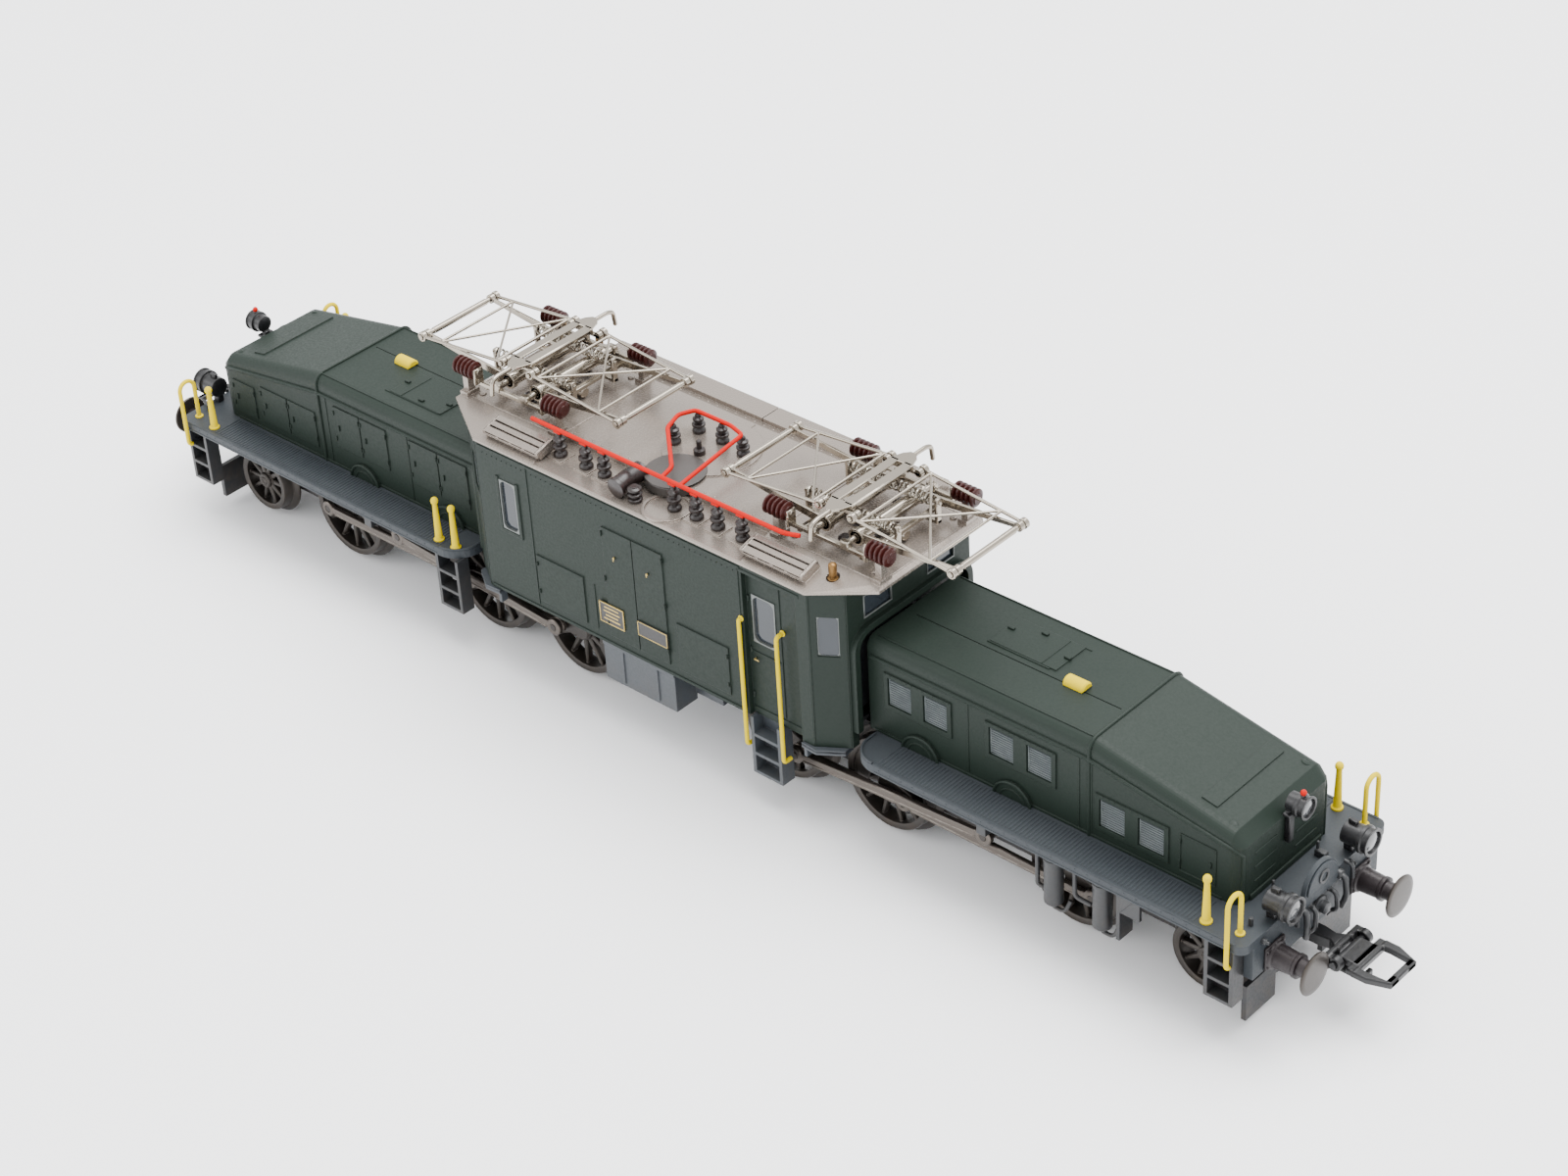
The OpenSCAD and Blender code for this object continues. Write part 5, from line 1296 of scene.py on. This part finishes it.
def buffer_sleeves(s):
    for y in (-BUFFER_Y, BUFFER_Y):
        s.box((BEAM_X, y - 2.15, BUFFER_Z - 1.6), (BEAM_X + 0.45, y + 2.15, BUFFER_Z + 2.15), 0.12)
        s.lathe((BEAM_X + 0.4, y, BUFFER_Z), (1, 0, 0), [
            (0, 2.1), (0.3, 2.05), (0.5, 1.8), (3.4, 1.65), (3.5, 1.8), (4.0, 1.8), (4.1, 1.35),
            (6.1, 1.3), (6.15, 1.2),
        ], 28)
        for dy in (-1.7, 1.7):
            for dz in (-1.2, 1.7):
                s.lathe((BEAM_X + 0.4, y + dy, BUFFER_Z + dz), (1, 0, 0),
                        [(0, 0.3), (0.2, 0.3), (0.28, 0.18)], 6)


def buffer_heads(s):
    for y in (-BUFFER_Y, BUFFER_Y):
        s.lathe((114.55, y, BUFFER_Z), (1, 0, 0), [
            (0, 1.25), (0.2, 2.2), (0.32, 3.1), (0.45, 3.2), (0.6, 3.2), (0.7, 3.05), (0.75, 2.4),
        ], 36)


def deck_treads(s):
    """Walkway ribs on the deck beside the hood, and its edge strip."""
    base = s.place
    for mirror in SIDES:
        s.place = base @ mirror
        x = 45.2
        while x < 100.2:
            s.box((x, HOOD_Y + 0.7, DECK_Z - 0.03), (x + 0.26, DECK_Y - 0.7, DECK_Z + 0.1), 0.04)
            x += 0.62
        s.box((44.8, DECK_Y - 0.45, DECK_Z - 0.03), (107, DECK_Y - 0.05, DECK_Z + 0.12), 0.05)
        s.box((45.2, DECK_Y - 0.05, 17.1), (107, DECK_Y + 0.07, 17.4), 0.04)
        for i in range(30):
            rivets(s, [(46 + i * 2.05, DECK_Y - 0.02, 17.9)], (0, 1, 0), 0.13)
        inner = arc(44.7, DECK_Y - 4.5, 4.3, 90, 165, 10)
        path = [(x, y, DECK_Z + 0.12) for x, y in inner] + [(40.5, 11.2, DECK_Z + 0.12)]
        s.sweep(path, 0.2, 8)
    s.place = base


def deck_piping(s):
    """Pipes, brake hangers and brackets under the deck, beside the wheels."""
    for x in (75.2, 83.6):
        s.lathe((x, -14.3, 7.15), (0, 0, 1), [
            (0, 0.4), (0.15, 0.95), (0.7, 1.4), (1.0, 1.46), (1.3, 1.42), (7.6, 1.42), (7.8, 1.5),
            (8.3, 1.5), (8.4, 1.1), (9.7, 1.0),
        ], 24)
        s.wire([(x, -14.3, 7.3), (x, -14.3, 6.6), (x + 1.8, -14.1, 6.4), (x + 2.4, -13.6, 8.4)],
               0.3, 0.8, 8)
    s.wire([(72.6, -14.6, 16.8), (72.6, -14.6, 9.6), (73.6, -14.3, 9.2)], 0.34, 0.8, 8)
    s.wire([(79.3, -14.9, 16.8), (79.3, -14.9, 11.0), (81.9, -14.6, 10.6)], 0.34, 0.8, 8)
    s.plate([(87.3, 12.6), (90.6, 16.9), (87.3, 16.9)], (0, -15.0, 0), *ALONG, 0.5)
    base = s.place
    for mirror in SIDES:
        s.place = base @ mirror
        s.wire([(90.8, 11.4, 13.6), (94.2, 11.4, 13.2), (103.3, 11.4, 12.8)], 0.45, 1.0, 8)
        s.wire([(62.9, 13.9, 16.9), (62.9, 13.9, 14.9), (60.4, 13.9, 14.5)], 0.3, 0.7, 8)
        s.box((105.2, 12.7, 7.6), (105.9, 13.5, 13.0), 0.12)
    s.place = base


# Name, drawing, body, material, slot and the CAD node each piece stands for
END_PIECES = (
    ("louvres", louvre_inserts, "bogie", LOUVRE, "louvre_metal", "grilles"),
    ("hood_trim", hood_trim, "bogie", GREEN, "green_paint", None),
    ("lifting_tab", lifting_tab, "bogie", YELLOW, "yellow_paint", None),
    ("posts_and_hoops", yellow_set, "bogie", YELLOW, "yellow_paint", "posts"),
    ("lamp_bodies", lamp_set, "bogie", COUPLER, "dark_paint", "lamps"),
    ("lamp_lenses", lenses, "bogie", LENS, "window_glass", None),
    ("lamp_marker", lamp_marker, "bogie", RED, "red_paint", None),
    ("buffer_sleeves", buffer_sleeves, "bogie", SHANK, "dark_paint", "buffers"),
    ("buffer_heads", buffer_heads, "bogie", HEAD, "rod_steel", None),
    ("beam_gear", beam_gear, "bogie", DARK, "dark_paint", None),
    ("fall_plate", fall_plate, "bogie", DECK, "deck_paint", None),
    ("coupler_bar", coupler_bar, "coupler", COUPLER, "dark_paint", "coupler"),
    ("coupling_loop", coupling_loop, "loop", COUPLER, "dark_paint", "loop"),
    ("deck_treads", deck_treads, "bogie", DECK, "deck_paint", None),
    ("deck_piping", deck_piping, "bogie", DARK, "dark_paint", None),
)
for end, turn in ENDS.items():
    for name, draw, body, material, slot, node in END_PIECES:
        stands_for = ["b%d_%s" % (end, node)] if node else []
        piece("%s_%d" % (name, end), "%s_%d" % (body, end), material, slot, draw, [turn],
              *stands_for)

# ---------------------------------------------------------------- studio


def studio_floor():
    n = Nodes("floor_paper")
    drift = n.span(n.noise(3, 3), 0.3, 0.7, 0, 1)
    tone = n.mix(drift, linear(249, 249, 250), linear(252, 252, 253))
    n.link(tone, n.shader.inputs["Base Color"])
    n.shader.inputs["Roughness"].default_value = 0.7
    data = bpy.data.meshes.new("floor")
    corners = [(-3, -3, 0), (3, -3, 0), (3, 3, 0), (-3, 3, 0)]
    data.from_pydata(corners, [], [(0, 1, 2, 3)])
    data.materials.append(n.material)
    floor = bpy.data.objects.new("floor", data)
    floor.location.z = CAD_BOX[0][2]
    bpy.context.scene.collection.objects.link(floor)


def area_light(name, place, aim, size, power):
    data = bpy.data.lights.new(name, "AREA")
    data.size = size
    data.energy = power
    light = bpy.data.objects.new(name, data)
    light.location = place
    light.rotation_euler = (Vector(aim) - Vector(place)).to_track_quat("-Z", "Y").to_euler()
    bpy.context.scene.collection.objects.link(light)


def photo_camera():
    """Camera at the photograph's angle; angles in radians, place in millimetres."""
    place = Vector((290.5, -287.44, 301.97))
    yaw, pitch, roll = 0.76698, -0.60457, -0.06247
    focal_px = 3338.1
    level_part = math.cos(pitch)
    ahead = Vector((-math.sin(yaw) * level_part, math.cos(yaw) * level_part, math.sin(pitch)))
    level = Vector((math.cos(yaw), math.sin(yaw), 0))
    upright = level.cross(ahead)
    right = level * math.cos(roll) + upright * math.sin(roll)
    up = upright * math.cos(roll) - level * math.sin(roll)
    data = bpy.data.cameras.new("camera")
    data.sensor_width = 36
    data.lens = focal_px * 36 / 1600
    data.clip_start = 0.01
    camera = bpy.data.objects.new("camera", data)
    turn = Matrix((right, up, -ahead)).transposed().to_4x4()
    camera.matrix_world = Matrix.Translation(place * MM) @ turn
    bpy.context.scene.collection.objects.link(camera)
    bpy.context.scene.camera = camera


world = bpy.data.worlds.new("studio")
world.use_nodes = True
world.node_tree.nodes["Background"].inputs["Color"].default_value = (0.98, 0.99, 1.0, 1)
world.node_tree.nodes["Background"].inputs["Strength"].default_value = 1.95
bpy.context.scene.world = world
studio_floor()
area_light("overhead", (0.1, 0.25, 1.1), (0, 0, 0), 1.0, 29)
area_light("side", (-0.7, -0.8, 0.6), (0, 0, 0.02), 0.6, 4)
photo_camera()
